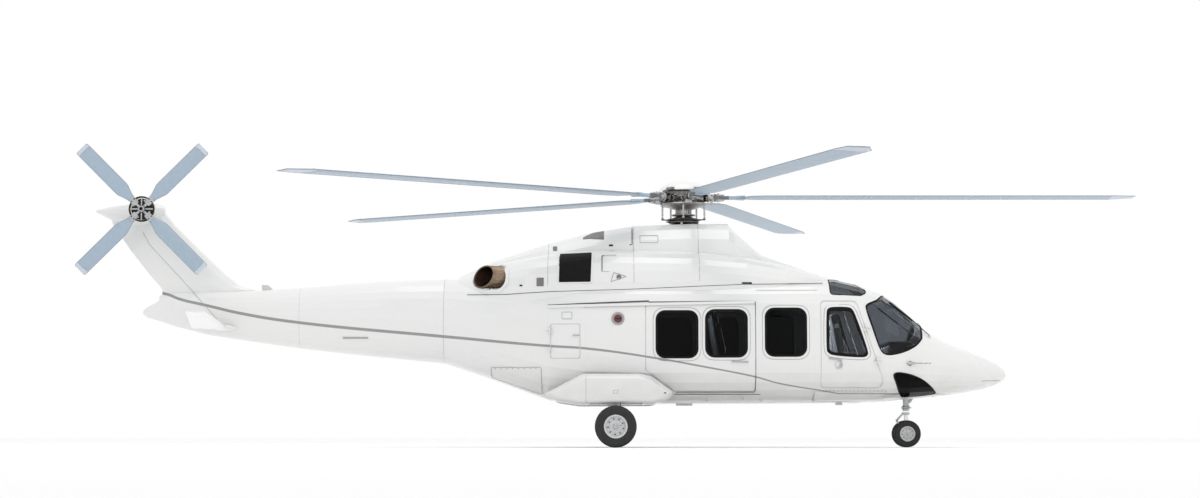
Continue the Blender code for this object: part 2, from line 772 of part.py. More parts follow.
def sponson(place, side):
    """The fairing that the main wheel folds into, hollow from below."""
    layers = [(y, SPONSON_ROOT) for y in (SPONSON_INNER_Y, SPONSON_SHOULDER_Y)]
    layers.append((SPONSON_HALF_WIDTH, SPONSON_TIP))
    body = loft([[(x, side * y, z) for x, z in rim] for y, rim in layers])
    cut(body, hull(-1.6, 1.6, -GAP))
    low_y, high_y = sorted(side * y for y in WELL_Y)
    cut(body, block((WELL_X[0], low_y, 0.3), (WELL_X[1], high_y, WELL_TOP_Z)))
    return finish(body, f"sponson_{place}", white_paint())


def cowl_rings(table, bottom, inset, power, points=20):
    """Arched sections from rows of x, top and half width, with a flat bottom."""
    rings = []
    for x, top, half_width in table:
        ring = []
        for k in range(points + 1):
            angle = math.pi * k / points
            across, up = math.cos(angle), math.sin(angle)
            y = math.copysign(abs(across) ** (2 / power), across) * (half_width - inset)
            ring.append((x, y, bottom + (top - inset - bottom) * abs(up) ** (2 / power)))
        rings.append(ring)
    return rings


def cowl_solid(inset=0.0, bottom=COWL_BASE_Z):
    wide = loft(cowl_rings(NACELLE, bottom, inset, 3.6, 16))
    return join(wide, loft(cowl_rings(SPINE, bottom, inset, 3.0, 12)))


def cowling_section(x_from, x_to, name):
    """A length of the cowling, open below onto the cabin roof."""
    body = cowl_solid()
    cut(body, cowl_solid(COWLING_WALL, COWL_BASE_Z - 0.05))
    cut(body, hull(-3.2, 3.6, -GAP))
    keep(body, block((x_from, -2, 1), (x_to, 2, 5)))
    return finish(body, name, white_paint())


def engine_cowling():
    body = cowling_section(-2.3, COWLING_SPLIT_X, "engine_cowling")
    for side in SIDES.values():
        cut(body, side_prism(INTAKE_LINE, side, 0.70))
        cut(body, side_prism(EXHAUST_HOLE_LINE, side, 0.60))
        cut(body, exhaust_channel(side))
    return finish(body, "engine_cowling", white_paint())


def mast_fairing():
    body = cowling_section(COWLING_SPLIT_X + GAP, 3.5, "mast_fairing")
    cut(body, bar((MAST_X, 0, 2.6), (MAST_X, 0, 3.6), MAST_HOLE_RADIUS, 24))
    return finish(body, "mast_fairing", white_paint())


def door_rail(place, side):
    """The guide along which the sliding door runs back, a strip on the skin above it."""
    rings = []
    span = RAIL_STATIONS[-1] - RAIL_STATIONS[0]
    for x in RAIL_STATIONS:
        z = RAIL_Z[0] + (RAIL_Z[1] - RAIL_Z[0]) * (x - RAIL_STATIONS[0]) / span
        y = skin_y(x, z, side)
        corners = ((RAIL_DEPTH, -1), (RAIL_DEPTH, 1), (-RAIL_PROUD, 1), (-RAIL_PROUD, -1))
        rings.append([(x, y - side * depth, z + way * RAIL_HALF_HEIGHT) for depth, way in corners])
    body = loft(rings)
    cut(body, hull(-1.6, 2.4, -GAP))
    return finish(body, f"door_rail_{place}", panel_black())


def exhaust(place, side):
    """The jet pipe, a tube cut off aslant so that it opens outboard, aft and a little upwards."""
    start, end = exhaust_line(side)
    body = bar(start, end, EXHAUST_RADIUS, 20)
    inner_start, inner_end = exhaust_line(side, 0.1)
    inner_start = inner_start.lerp(inner_end, 0.25)
    cut(body, bar(inner_start, inner_end, EXHAUST_RADIUS - EXHAUST_WALL, 20))
    mouth = mirrored(EXHAUST_MOUTH, side)
    cut(body, bar(mouth, mouth + mirrored(EXHAUST_FACING, side), 0.6, 8))
    return finish(body, f"exhaust_{place}", hot_metal())


def powerplant():
    """Both engines and the main gearbox, as one plain block under the cowling."""
    body = block(*FIREWALL_BOX)
    join(body, block(*GEARBOX_BOX))
    for side in SIDES.values():
        start, end = exhaust_line(side)
        along = (end - start).normalized()
        low = (-1.24, start.y - ENGINE_HALF_WIDTH, ENGINE_DECK_Z)
        join(body, block(low, (-0.20, start.y + ENGINE_HALF_WIDTH, ENGINE_TOP_Z)))
        join(body, bar(start - along * 0.20, start - along * GAP, EXHAUST_RADIUS - 0.02, 16))
    join(body, bar((MAST_X, 0, 2.85), (MAST_X, 0, POWERPLANT_TOP_Z), 0.22, 20, 0.13))
    return finish(body, "powerplant", metal())


def cabin_door(place, side):
    """The sliding door, with its two window holes."""
    xs = [x for x, _ in CABIN_DOOR_LINE]
    body = skin(min(xs) - 0.05, max(xs) + 0.05, 0.0, DOOR_THICKNESS)
    panel = [(x, z - SEAM + GAP) for x, z in offset(CABIN_DOOR_LINE, SEAM)]
    keep(body, side_prism(panel, side, 0.4))
    for line in DOOR_WINDOW_LINES.values():
        cut(body, side_prism(line, side, 0.4))
    return finish(body, f"cabin_door_{place}", white_paint())


def crew_door(place, side):
    """The crew door, hinged at its slanted front edge."""
    xs = [x for x, _ in CREW_DOOR_LINE]
    body = skin(min(xs) - 0.05, max(xs) + 0.05, 0.0, DOOR_THICKNESS)
    keep(body, side_prism(offset(CREW_DOOR_LINE, HINGED_SEAM), side, 0.4))
    cut(body, side_prism(CREW_WINDOW_LINE, side, 0.4))
    sill = []
    for x in (CREW_DOOR_LINE_X[0], CREW_DOOR_LINE_X[1]):
        y, z = skin_y(x, CREW_DOOR[0][1], side), CREW_DOOR[0][1]
        inboard = y - side * DOOR_BEVEL * 2
        sill.append([(x, y, z), (x, inboard, z), (x, inboard, z + DOOR_BEVEL * 2)])
    cut(body, loft(sill))
    attach_knuckles(body, CREW_HINGE, side, True, AFT)
    finish(body, f"crew_door_{place}", white_paint())
    set_origin(body, mirrored(CREW_HINGE[0], side))
    return body


def baggage_door(place, side):
    body = skin(-1.0, -0.36, 0.0, DOOR_THICKNESS)
    keep(body, side_prism(offset(BAGGAGE_DOOR_LINE, HINGED_SEAM), side, 0.4))
    attach_knuckles(body, BAGGAGE_HINGE, side, True, FORWARD)
    finish(body, f"baggage_door_{place}", white_paint())
    set_origin(body, mirrored(BAGGAGE_HINGE[0], side))
    return body


def windows(place, side):
    pane(f"windshield_{place}", WINDSHIELD_LINE, side, POST_HALF_WIDTH)
    pane(f"eyebrow_window_{place}", EYEBROW_LINE, side, 0.30)
    pane(f"chin_window_{place}", CHIN_LINE, side, CHIN_INNER_Y)
    pane(f"cabin_window_{place}", FIXED_WINDOW_LINE, side, 0.5)
    for position, line in DOOR_WINDOW_LINES.items():
        pane(f"door_window_{position}_{place}", line, side, 0.5)
    crew_pane = pane(f"crew_door_window_{place}", CREW_WINDOW_LINE, side, 0.5)
    set_origin(crew_pane, mirrored(CREW_HINGE[0], side))


def seat(name, back_x, y_from, y_to):
    outline = [(back_x + x, FLOOR_Z + GAP + z) for x, z in SEAT_PROFILE]
    return finish(prism(outline, y_from, y_to), name, seat_leather())


def instrument_panel():
    """The coaming and panel across the cockpit, with the centre console down to the floor."""
    low = NOSE_WELL_TOP_Z + 0.06 + GAP
    side_face = [(4.02, low), (4.58, low), (4.50, 1.40), (4.24, 1.52), (4.12, 1.50), (4.08, 1.30)]
    body = prism(side_face, -PANEL_HALF_WIDTH, PANEL_HALF_WIDTH)
    foot = FLOOR_Z + GAP
    console = [(3.45, foot), (3.95, foot), (3.98, 1.11), (4.12, 1.36), (3.95, 1.32), (3.45, 1.16)]
    join(body, prism(console, -CONSOLE_HALF_WIDTH, CONSOLE_HALF_WIDTH))
    return finish(body, "instrument_panel", panel_black())


def tyre_profile(radius, width):
    """Half a wheel's turned outline: hub face, rim and a rounded tyre, as (radius, distance) points."""
    half = width / 2
    inner = [(0.45, -0.60), (0.66, -0.92), (0.85, -1.00), (1.00, -0.55)]
    outer = [(share, -across) for share, across in reversed(inner)]
    return [(share * radius, across * half) for share, across in inner + outer]


def axle_bore(centre, radius, reach):
    """The cutter for a bore across the craft whose flats clear a shaft of this radius."""
    sides = 24
    bore = (radius + AXLE_PLAY) / math.cos(math.pi / sides)
    across = Vector((0, reach, 0))
    return bar(centre - across, centre + across, bore, sides)


def main_wheel(place, side):
    centre = Vector((MAIN_WHEEL_X, side * TRACK / 2, MAIN_WHEEL_RADIUS))
    body = turned(tyre_profile(MAIN_WHEEL_RADIUS, MAIN_WHEEL_WIDTH), centre, (0, 1, 0), 20)
    cut(body, axle_bore(centre, AXLE_RADIUS, MAIN_WHEEL_WIDTH))
    finish(body, f"main_wheel_{place}", rubber())
    set_origin(body, centre)
    return body


def main_gear_leg(place, side):
    """The oleo leg from the top of the wheel well down to the stub axle."""
    foot = Vector((MAIN_WHEEL_X, side * LEG_Y, MAIN_WHEEL_RADIUS))
    top = Vector((MAIN_WHEEL_X, side * LEG_Y, WELL_TOP_Z - GAP))
    body = bar(foot, top, 0.038, 16)
    join(body, bar(foot.lerp(top, 0.45), top, 0.055, 16))
    axle_end = foot + Vector((0, side * (TRACK / 2 - LEG_Y + MAIN_WHEEL_WIDTH / 2 - 0.02), 0))
    join(body, bar(foot - Vector((0, side * 0.05, 0)), axle_end, AXLE_RADIUS, 16))
    brace_top = Vector((WELL_X[0] + 0.03, side * LEG_Y, WELL_TOP_Z - 0.05))
    join(body, bar(foot.lerp(top, 0.55), brace_top, 0.022, 12))
    return finish(body, f"main_gear_leg_{place}", metal())


def nose_gear_leg():
    """The fixed upper part of the nose leg, from the roof of its well to the steering bearing."""
    top = Vector((NOSE_STRUT_X, 0, NOSE_WELL_TOP_Z - GAP))
    low = Vector((NOSE_STRUT_X, 0, FORK_TOP_Z))
    body = bar(low, top, 0.055, 16)
    brace_top = Vector((NOSE_WELL_X[1] - 0.06, 0, NOSE_WELL_TOP_Z - 0.04))
    join(body, bar(low.lerp(top, 0.35), brace_top, 0.024, 12))
    return finish(body, "nose_gear_leg", metal())


def nose_gear_fork():
    """The steered lower part of the nose leg, with the bearing of the wheels' axle across its foot."""
    top = Vector((NOSE_STRUT_X, 0, FORK_TOP_Z - GAP))
    foot = Vector((NOSE_WHEEL_X, 0, NOSE_WHEEL_RADIUS))
    body = bar(foot, top, 0.036, 16)
    across = Vector((0, FORK_HALF_WIDTH, 0))
    join(body, bar(foot - across, foot + across, 0.045, 16))
    cut(body, axle_bore(foot, NOSE_AXLE_RADIUS, NOSE_WHEEL_RADIUS))
    finish(body, "nose_gear_fork", metal())
    set_origin(body, foot)
    return body


def nose_wheels():
    """The twin nose wheels, turned as one body by the axle that runs through the fork."""
    centre = Vector((NOSE_WHEEL_X, 0, NOSE_WHEEL_RADIUS))
    half = NOSE_WHEEL_SPACING / 2
    made = []
    for side in SIDES.values():
        middle = centre + Vector((0, side * half, 0))
        wheel = turned(tyre_profile(NOSE_WHEEL_RADIUS, NOSE_WHEEL_WIDTH), middle, (0, 1, 0), 16)
        hub_inner = centre + Vector((0, side * (FORK_HALF_WIDTH + AXLE_PLAY), 0))
        hub_outer = centre + Vector((0, side * (half + 0.02), 0))
        join(wheel, bar(hub_inner, hub_outer, 0.040, 10))
        made.append(wheel)
    body = made[0]
    join(body, made[1])
    reach = Vector((0, half, 0))
    join(body, bar(centre - reach, centre + reach, NOSE_AXLE_RADIUS, 12))
    finish(body, "nose_wheels", rubber())
    set_origin(body, centre)
    return body


def rotor_hub():
    """The mast, the hub with its five arms, the pitch links and the ring that they turn with."""
    body = turned(HUB, (MAST_X, 0, 0), (0, 0, 1), 20)
    swash_ring = [(SWASH_RING_RADIUS - 0.01, 0.0), (SWASH_RING_RADIUS, 0.018), (0.16, 0.035), (0.13, 0.060)]
    join(body, turned(swash_ring, (MAST_X, 0, RING_Z), (0, 0, 1), 20))
    for k in range(BLADES):
        angle = 2 * math.pi * k / BLADES
        turn = Matrix.Translation((MAST_X, 0, ROTOR_Z)) @ Matrix.Rotation(angle, 4, "Z")
        ring_z = RING_Z - ROTOR_Z
        arm = bar((0.10, 0, 0), (ARM_REACH, 0, 0), ARM_RADIUS, 12)
        link = bar((LINK_X, LINK_Y, ring_z + 0.004), (LINK_X, LINK_Y, -0.095), LINK_RADIUS, 6)
        lug = block((0.21, LINK_Y - 0.018, ring_z + 0.002), (LINK_X + 0.018, LINK_Y + 0.018, ring_z + 0.016))
        for piece in (arm, lug, link):
            piece.data.transform(turn)
            join(body, piece)
    finish(body, "rotor_hub", metal())
    set_origin(body, (MAST_X, 0, ROTOR_Z))
    return body


def hub_cap():
    """The shallow dome that covers the top of the hub."""
    body = turned(CAP, (MAST_X, 0, ROTOR_Z + CAP_BASE + GAP), (0, 0, 1), 24)
    finish(body, "hub_cap", white_paint())
    set_origin(body, (MAST_X, 0, ROTOR_Z))
    return body


def swashplate():
    """The fixed lower control ring around the mast, on its sleeve."""
    top = RING_Z - 0.012
    body = bar((MAST_X, 0, POWERPLANT_TOP_Z + GAP), (MAST_X, 0, top - 0.005), 0.130, 20)
    join(body, bar((MAST_X, 0, top - 0.018), (MAST_X, 0, top), 0.225, 20))
    cut(body, bar((MAST_X, 0, 2.9), (MAST_X, 0, 3.6), MAST_RADIUS + 0.008, 20))
    return finish(body, "swashplate", metal())


def blade_rings(table, chord_axis):
    """Aerofoil sections across the blade, whose span runs along +X."""
    rings = []
    for radius, chord, half, shift in table:
        row = [(radius, chord_axis + shift - chord * s, half * h) for s, h in foil_outline()]
        rings.append(row)
    return rings


def rotor_blade(k):
    """One main blade, gripped face to face by its arm of the hub."""
    body = loft(blade_rings(BLADE, BLADE_AXIS * BLADE_CHORD + 0.045))
    grip = []
    for radius, half, high in BLADE_GRIP:
        corners = ((-half, -high), (half, -high), (half, high), (-half, high))
        grip.append([(radius, y, z) for y, z in corners])
    join(body, loft(grip))
    angle = 2 * math.pi * k / BLADES
    body.data.transform(Matrix.Translation((MAST_X, 0, ROTOR_Z)) @ Matrix.Rotation(angle, 4, "Z"))
    finish(body, f"rotor_blade_{k + 1}", blade_paint())
    set_origin(body, (MAST_X, 0, ROTOR_Z))
    return body


def tail_rotor():
    """The tail rotor: a drum hub with an open spoked face, and four blades."""
    outward = (0, -1, 0)
    inner = TAIL_HUB + Vector((0, TAIL_SHAFT_END - GAP, 0))
    body = turned(TAIL_DRUM, inner, outward, 24)
    for k in range(TAIL_BLADES):
        angle = math.radians(45) + 2 * math.pi * k / TAIL_BLADES
        blade = loft(blade_rings(TAIL_BLADE, TAIL_CHORD / 2))
        turn = Matrix.Rotation(-angle, 4, "Y") @ Matrix.Rotation(math.radians(90), 4, "X")
        blade.data.transform(Matrix.Translation(TAIL_HUB + Vector((0, -0.02, 0))) @ turn)
        join(body, blade)
    finish(body, "tail_rotor", blade_paint())
    set_origin(body, TAIL_HUB)
    return body


def build():
    clear_scene()
    nose_cone()
    cockpit_shell()
    cabin_shell()
    rear_fuselage()
    tail_boom()
    engine_cowling()
    mast_fairing()
    powerplant()
    swashplate()
    for place, side in SIDES.items():
        stabiliser(place, side)
        sponson(place, side)
        exhaust(place, side)
        cabin_door(place, side)
        door_rail(place, side)
        crew_door(place, side)
        baggage_door(place, side)
        windows(place, side)
        main_gear_leg(place, side)
        main_wheel(place, side)
        centre = side * CREW_SEAT_Y
        seat(f"crew_seat_{place}", CREW_SEAT_X, centre - CREW_SEAT_HALF_WIDTH, centre + CREW_SEAT_HALF_WIDTH)
    for row, back_x in enumerate(BENCH_BACKS_X):
        seat(f"cabin_seat_{row + 1}", back_x, -BENCH_HALF_WIDTH, BENCH_HALF_WIDTH)
    instrument_panel()
    nose_gear_leg()
    nose_gear_fork()
    nose_wheels()
    rotor_hub()
    hub_cap()
    for k in range(BLADES):
        rotor_blade(k)
    tail_rotor()


build()
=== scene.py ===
"""Looks of a twin-engined helicopter parked on its wheels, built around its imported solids.

Metres, but the profiles of turned and spun pieces are in millimetres. The nose points to +X, port is +Y and up is
+Z. Pieces are made on the starboard side, y < 0, and copied across to port. x = 0 lies halfway between the front
and rear tips of the main rotor.
"""

import math

import bmesh
import bpy
from mathutils import Matrix, Vector
from mathutils.bvhtree import BVHTree


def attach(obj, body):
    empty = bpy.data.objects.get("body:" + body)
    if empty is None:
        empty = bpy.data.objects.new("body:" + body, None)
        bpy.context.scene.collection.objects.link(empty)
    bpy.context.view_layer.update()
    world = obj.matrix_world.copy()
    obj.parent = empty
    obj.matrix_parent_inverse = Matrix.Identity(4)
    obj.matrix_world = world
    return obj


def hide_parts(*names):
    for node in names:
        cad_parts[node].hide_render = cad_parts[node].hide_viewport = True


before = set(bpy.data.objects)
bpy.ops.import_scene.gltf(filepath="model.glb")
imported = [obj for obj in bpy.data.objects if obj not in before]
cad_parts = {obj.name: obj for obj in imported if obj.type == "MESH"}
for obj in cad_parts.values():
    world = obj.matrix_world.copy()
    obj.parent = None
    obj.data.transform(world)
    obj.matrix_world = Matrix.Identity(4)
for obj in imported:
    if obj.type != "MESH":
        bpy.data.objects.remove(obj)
bpy.ops.object.select_all(action="DESELECT")
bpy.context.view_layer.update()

X, Y, Z = (1, 0, 0), (0, 1, 0), (0, 0, 1)
STARBOARD, DOWN = Vector((0, -1, 0)), Vector((0, 0, -1))
FULL_TURN = 2 * math.pi
MAST = Vector((1.10, 0.0, 3.72))
MAST_FOOT = (MAST.x, 0.0, 0.0)
BLADES = 5
CAP_AT = 6.35
TAIL_HUB = Vector((-6.90, -0.55, 3.50))
TAIL_CAP_AT = 1.213
MAIN_WHEEL = Vector((0.075, -1.52, 0.30))
NOSE_WHEEL = Vector((4.40, 0.0, 0.20))
MAIN_LEG_Y = -1.345
FLOOR_Z = 0.94
CREW_Y = 0.47
HULL_AXIS_Z, HULL_RADIUS = 1.3, 1.1
EXHAUST_MOUTH = Vector((-1.855, -0.590, 2.500))


# Materials

def linear(code):
    """An sRGB hex colour as linear red, green, blue and alpha."""
    parts = [int(code[k:k + 2], 16) / 255 for k in (1, 3, 5)]
    return tuple(c / 12.92 if c <= 0.04045 else ((c + 0.055) / 1.055) ** 2.4 for c in parts) + (1.0,)


def add(tree, kind, inputs=None, **settings):
    """Adds a node with its settings, and links or sets its inputs."""
    node = tree.nodes.new("ShaderNode" + kind)
    for name, value in settings.items():
        setattr(node, name, value)
    for socket, value in (inputs or {}).items():
        if isinstance(value, bpy.types.NodeSocket):
            tree.links.new(value, node.inputs[socket])
        else:
            node.inputs[socket].default_value = value
    return node


class Finish:
    """A material in the making, with the few kinds of node that they all need. Each kind gives back its output."""

    def __init__(self, name, colour, roughness, **constants):
        self.material = bpy.data.materials.new(name)
        self.material.use_nodes = True
        self.material.diffuse_color = linear(colour)
        self.tree = self.material.node_tree
        self.shader = self.tree.nodes["Principled BSDF"]
        for socket, value in {"Base Color": linear(colour), "Roughness": roughness, **constants}.items():
            self.shader.inputs[socket.replace("_", " ")].default_value = value
        self.coordinates = add(self.tree, "TexCoord")
        self.place = self.coordinates.outputs["Object"]

    def noise(self, scale, detail, roughness=0.5):
        sockets = {"Vector": self.place, "Scale": scale, "Detail": detail, "Roughness": roughness}
        return add(self.tree, "TexNoise", sockets).outputs[0]

    def cells(self, scale):
        return add(self.tree, "TexVoronoi", {"Vector": self.place, "Scale": scale}).outputs[0]

    def bands(self, scale, axis):
        sockets = {"Vector": self.place, "Scale": scale}
        return add(self.tree, "TexWave", sockets, wave_type="BANDS", bands_direction=axis).outputs[1]

    def axes(self):
        return add(self.tree, "SeparateXYZ", {0: self.place}).outputs

    def ramp(self, value, low=0.0, high=1.0, first=0.0, last=1.0):
        return add(self.tree, "MapRange", {0: value, 1: low, 2: high, 3: first, 4: last}).outputs[0]

    def maths(self, operation, first, second=0.0):
        return add(self.tree, "Math", {0: first, 1: second}, operation=operation).outputs[0]

    def vector_maths(self, operation, first, second, third=(0.0, 0.0, 0.0)):
        return add(self.tree, "VectorMath", {0: first, 1: second, 2: third}, operation=operation).outputs

    def mix(self, mask, under, over):
        under, over = (linear(side) if isinstance(side, str) else side for side in (under, over))
        return add(self.tree, "Mix", {0: mask, 6: under, 7: over}, data_type="RGBA").outputs[2]

    def colour(self, mask, under, over):
        """Two colours mixed by a mask, as the shader's own."""
        self.tree.links.new(self.mix(mask, under, over), self.shader.inputs["Base Color"])

    def rough(self, value, first, last):
        self.tree.links.new(self.ramp(value, 0.0, 1.0, first, last), self.shader.inputs["Roughness"])

    def bump(self, height, distance):
        """Gives the shader a bump from this height, whose full swing is this many metres."""
        bump = add(self.tree, "Bump", {"Height": height, "Distance": distance, "Strength": 1.0})
        self.tree.links.new(bump.outputs["Normal"], self.shader.inputs["Normal"])
        return self.material


# The pin stripe's height along the body, from tail to nose, as (x, z) points
STRIPE = (
    (-7.00, 2.345), (-6.64, 2.284), (-6.38, 2.191), (-5.95, 2.090), (-5.50, 1.984), (-4.73, 1.855), (-2.37, 1.616),
    (-0.87, 1.466), (-0.42, 1.435), (0.72, 1.277), (1.25, 1.182), (2.10, 1.017), (2.45, 0.923), (3.07, 0.821),
    (3.30, 0.780),
)
STRIPE_LOW, STRIPE_HIGH = 0.7, 2.5
LINED_ROOM = ((-0.40, 4.96), (-1.14, 1.14), (0.935, 2.42))


def white_polyurethane():
    """Sprayed two-pack polyurethane over riveted skin: clean gloss white that yellows a touch in broad
    patches, greys in noisy patches of painted shade towards the bottom, carries the pin stripe, and waves a
    little between its frames."""
    made = Finish("white_polyurethane_topcoat", "#E4E4E2", 0.30, Coat_Weight=0.8, Coat_Roughness=0.05, IOR=1.5)
    x, y, z = axes = made.axes()
    # Painted shade: the white greys in noisy patches towards the bottom, from 1.25 m down to 0.60 m
    painted_low_shade = made.maths("MULTIPLY", made.ramp(z, 1.25, 0.60, 0.0, 0.55), made.noise(4.0, 6.0))
    paint_with_low_shade = made.mix(painted_low_shade, made.mix(made.noise(0.9, 3.0), "#E7E6E3", "#DFE1E1"), "#A9A7A1")
    tail, nose = STRIPE[0][0], STRIPE[-1][0]
    height = add(made.tree, "FloatCurve", {1: made.ramp(x, tail, nose)})
    line = height.mapping.curves[0]
    for k, (at_x, at_z) in enumerate(STRIPE):
        at = ((at_x - tail) / (nose - tail), (at_z - STRIPE_LOW) / (STRIPE_HIGH - STRIPE_LOW))
        if k in (0, len(STRIPE) - 1):
            line.points[0 if k == 0 else -1].location = at
        else:
            line.points.new(*at)
    height.mapping.update()
    centre = made.ramp(height.outputs[0], 0.0, 1.0, STRIPE_LOW, STRIPE_HIGH)
    distance = made.maths("ABSOLUTE", made.maths("SUBTRACT", z, centre))
    edge = made.maths("SUBTRACT", made.ramp(x, -2.5, 3.1, 0.022, 0.009), distance)
    painted = made.mix(made.ramp(edge, -0.0015, 0.0015), paint_with_low_shade, "#8C8E8D")
    # Faces of the body's inside, which look back at the axis of the cabin, wear the grey fabric of its lining
    inward = made.vector_maths("MULTIPLY_ADD", made.place, (0.0, -1.0, -1.0), (0.0, 0.0, 1.62))[0]
    facing = made.vector_maths("DOT_PRODUCT", made.coordinates.outputs["Normal"], inward)["Value"]
    mask = made.ramp(facing, 0.08, 0.12)
    for axis, ends in zip(axes, LINED_ROOM):
        for edge_at, blur in zip(ends, (0.004, -0.004)):
            mask = made.maths("MULTIPLY", mask, made.ramp(axis, edge_at, edge_at + blur))
    made.colour(mask, painted, "#37383A")
    # Waves of the skin between its frames, about 300 mm apart, and the orange peel of the spray, drawn 20 mm wide
    peel = made.maths("MULTIPLY", made.noise(50.0, 1.0, 0.4), 0.04)
    return made.bump(made.maths("ADD", made.noise(3.3, 1.0), peel), 0.004)


def blade_composite(name, centre, plane, tip_from, root_to):
    """Satin paint over a composite blade: pale blue grey patched with dust, a lighter tip cap, a bare dark root
    and a dull roughness that the air has left uneven."""
    made = Finish(name, "#A3B3C2", 0.38, IOR=1.5)
    centred = add(made.tree, "Mapping", {"Vector": made.place, "Location": -centre}, vector_type="POINT").outputs[0]
    reach = made.vector_maths("LENGTH", made.vector_maths("MULTIPLY", centred, plane)[0], plane)["Value"]
    dust = made.noise(14.0, 5.0)
    paint = made.mix(dust, "#97A9B9", "#A8B7C5")
    capped = made.mix(made.ramp(reach, tip_from - 0.004, tip_from + 0.004), paint, "#C3CBD6")
    made.colour(made.ramp(reach, root_to - 0.002, root_to + 0.002), "#666C72", capped)
    made.rough(dust, 0.30, 0.48)
    return made.bump(dust, 0.0006)


def worn_metal(name, dark, light, roughness, depth=0.0006, scale=30.0):
    """Machined or cast metal: a bare metal whose colour and roughness shift in patches about 30 mm wide,
    where oil and hands have been."""
    made = Finish(name, light, roughness, Metallic=1.0)
    smear = made.noise(scale, 6.0, 0.6)
    made.colour(smear, dark, light)
    made.rough(smear, roughness - 0.12, roughness + 0.14)
    return made.bump(smear, depth)


def heat_tinted_steel():
    """Rolled nickel steel run hot: straw, bronze and brown bands that follow the pipe, sooty patches and the
    dull sheen of scale."""
    made = Finish("heat_tinted_steel", "#8C7A68", 0.36, Metallic=1.0)
    along_pipe = made.maths("ADD", made.axes()[0], made.maths("MULTIPLY", made.noise(7.0, 5.0), 0.12))
    brown = made.mix(made.ramp(along_pipe, -1.95, -1.40), "#6C5D50", "#A8937C")
    soot = made.noise(22.0, 6.0)
    made.colour(made.ramp(soot, 0.45, 0.80, 0.0, 0.45), brown, "#4A4038")
    made.rough(soot, 0.25, 0.55)
    return made.bump(soot, 0.0008)


def tinted_acrylic(name, tint, index):
    """Stretched acrylic with a smoke tint and an anti-glare skin, so its index is low: dark from outside, clear
    enough to show the seats, with the faint waviness of a thermoformed pane, about 200 mm long."""
    made = Finish(name, tint, 0.02, IOR=index, Transmission_Weight=1.0)
    return made.bump(made.noise(5.0, 1.0), 0.0015)


def moulded(name, colour, roughness, pitch=0.004, depth=0.0003, variation=0.25, **constants):
    """Moulded rubber, plastic or sprayed primer: a matt skin with a grain of the given pitch in metres, and
    slightly uneven colour where dust sits in it."""
    made = Finish(name, colour, roughness, **constants)
    under = linear(colour)
    over = tuple(min(1.0, c * (1.0 + variation) + 0.01 * variation) for c in under[:3]) + (1.0,)
    made.colour(made.noise(12.0, 5.0), under, over)
    return made.bump(made.cells(1.0 / pitch), depth)


def grained_leather():
    """Full-grain aircraft leather: mid grey, a pebbled grain about 3 mm across drawn at 5 mm, darker in the
    folds and polished where people sit."""
    made = Finish("grey_grained_leather", "#8F8D8B", 0.5, IOR=1.45, Sheen_Weight=0.15, Sheen_Roughness=0.4)
    wear = made.noise(6.0, 5.0)
    made.colour(wear, "#848280", "#A5A29F")
    made.rough(wear, 0.58, 0.38)
    return made.bump(made.cells(200.0), 0.0006)


def loop_carpet():
    """Wool loop carpet: dark blue grey tufts about 4 mm apart that scatter the light."""
    made = Finish("loop_carpet", "#3A3E45", 0.95, Sheen_Weight=0.3)
    tuft = made.cells(250.0)
    made.colour(tuft, "#2C3036", "#4C5159")
    return made.bump(tuft, 0.002)


def woven_mesh(name, gap, wire_colour):
    """Stainless screen: a dark plate crossed by lighter wires, drawn at a pitch of 16 mm so they show."""
    made = Finish(name, wire_colour, 0.45, Metallic=0.4)
    wire = made.ramp(made.maths("MAXIMUM", made.bands(20.0, "X"), made.bands(20.0, "Z")), 0.80, 0.97)
    made.colour(wire, gap, wire_colour)
    return made.bump(wire, 0.003)


def lamp_glass(name, colour, strength):
    """Pressed glass lamp cover: a clear gloss colour that glows a little from the reflector behind it, with
    pressed ribs 8 mm apart."""
    glow = {"Emission_Color": linear(colour), "Emission_Strength": strength}
    made = Finish(name, colour, 0.08, IOR=1.5, Coat_Weight=1.0, **glow)
    return made.bump(made.bands(40.0, "X"), 0.0008)


PAINT = white_polyurethane()
BLADE = blade_composite("blue_grey_blade_composite", MAST, (1.0, 1.0, 0.0), CAP_AT, 0.68)
TAIL_BLADE = blade_composite("blue_grey_tail_blade_composite", TAIL_HUB, (1.0, 0.0, 1.0), TAIL_CAP_AT, 0.0)
HEAD_STEEL = worn_metal("machined_head_steel", "#8E8C8E", "#D6D4D1", 0.44)
CONTROL_STEEL = worn_metal("dull_control_steel", "#4E4B48", "#8B8783", 0.46)
DARK_STEEL = worn_metal("phosphated_steel", "#22211F", "#4B4843", 0.48)
BRIGHT_STEEL = worn_metal("stainless_steel", "#8D8F91", "#D3D5D6", 0.26, 0.0002)
CHROME = worn_metal("chromed_oleo_rod", "#C9CCCE", "#ECEDEE", 0.14, 0.0001)
ALLOY = worn_metal("cast_magnesium_alloy", "#54554F", "#8E8F88", 0.50, 0.0012, 60.0)
ABRASION = worn_metal("nickel_leading_edge", "#6E7780", "#A5ADB5", 0.34, 0.0004)
EXHAUST = heat_tinted_steel()
EXHAUST_INSIDE = worn_metal("sooty_heat_dark_steel", "#1D1613", "#4A382C", 0.55, 0.0008, 14.0)
ACRYLIC = tinted_acrylic("smoke_tinted_acrylic", "#8F9399", 1.27)
DARK_ACRYLIC = tinted_acrylic("privacy_tinted_acrylic", "#37393B", 1.16)
SEALANT = moulded("polysulphide_sealant", "#3C3E3F", 0.55, 0.003, 0.0002)
PALE_SEAL = moulded("pale_door_seal", "#BDBEBD", 0.5, 0.003, 0.0002)
GREY_SEAL = moulded("grey_door_seal", "#9A9B9A", 0.5, 0.003, 0.0002)
BLACK_RUBBER = moulded("black_window_rubber", "#0B0B0C", 0.62, 0.003, 0.0003, Specular_IOR_Level=0.15)
TYRE = moulded("tyre_rubber", "#1B1B1B", 0.78, 0.006, 0.0005, 0.9)
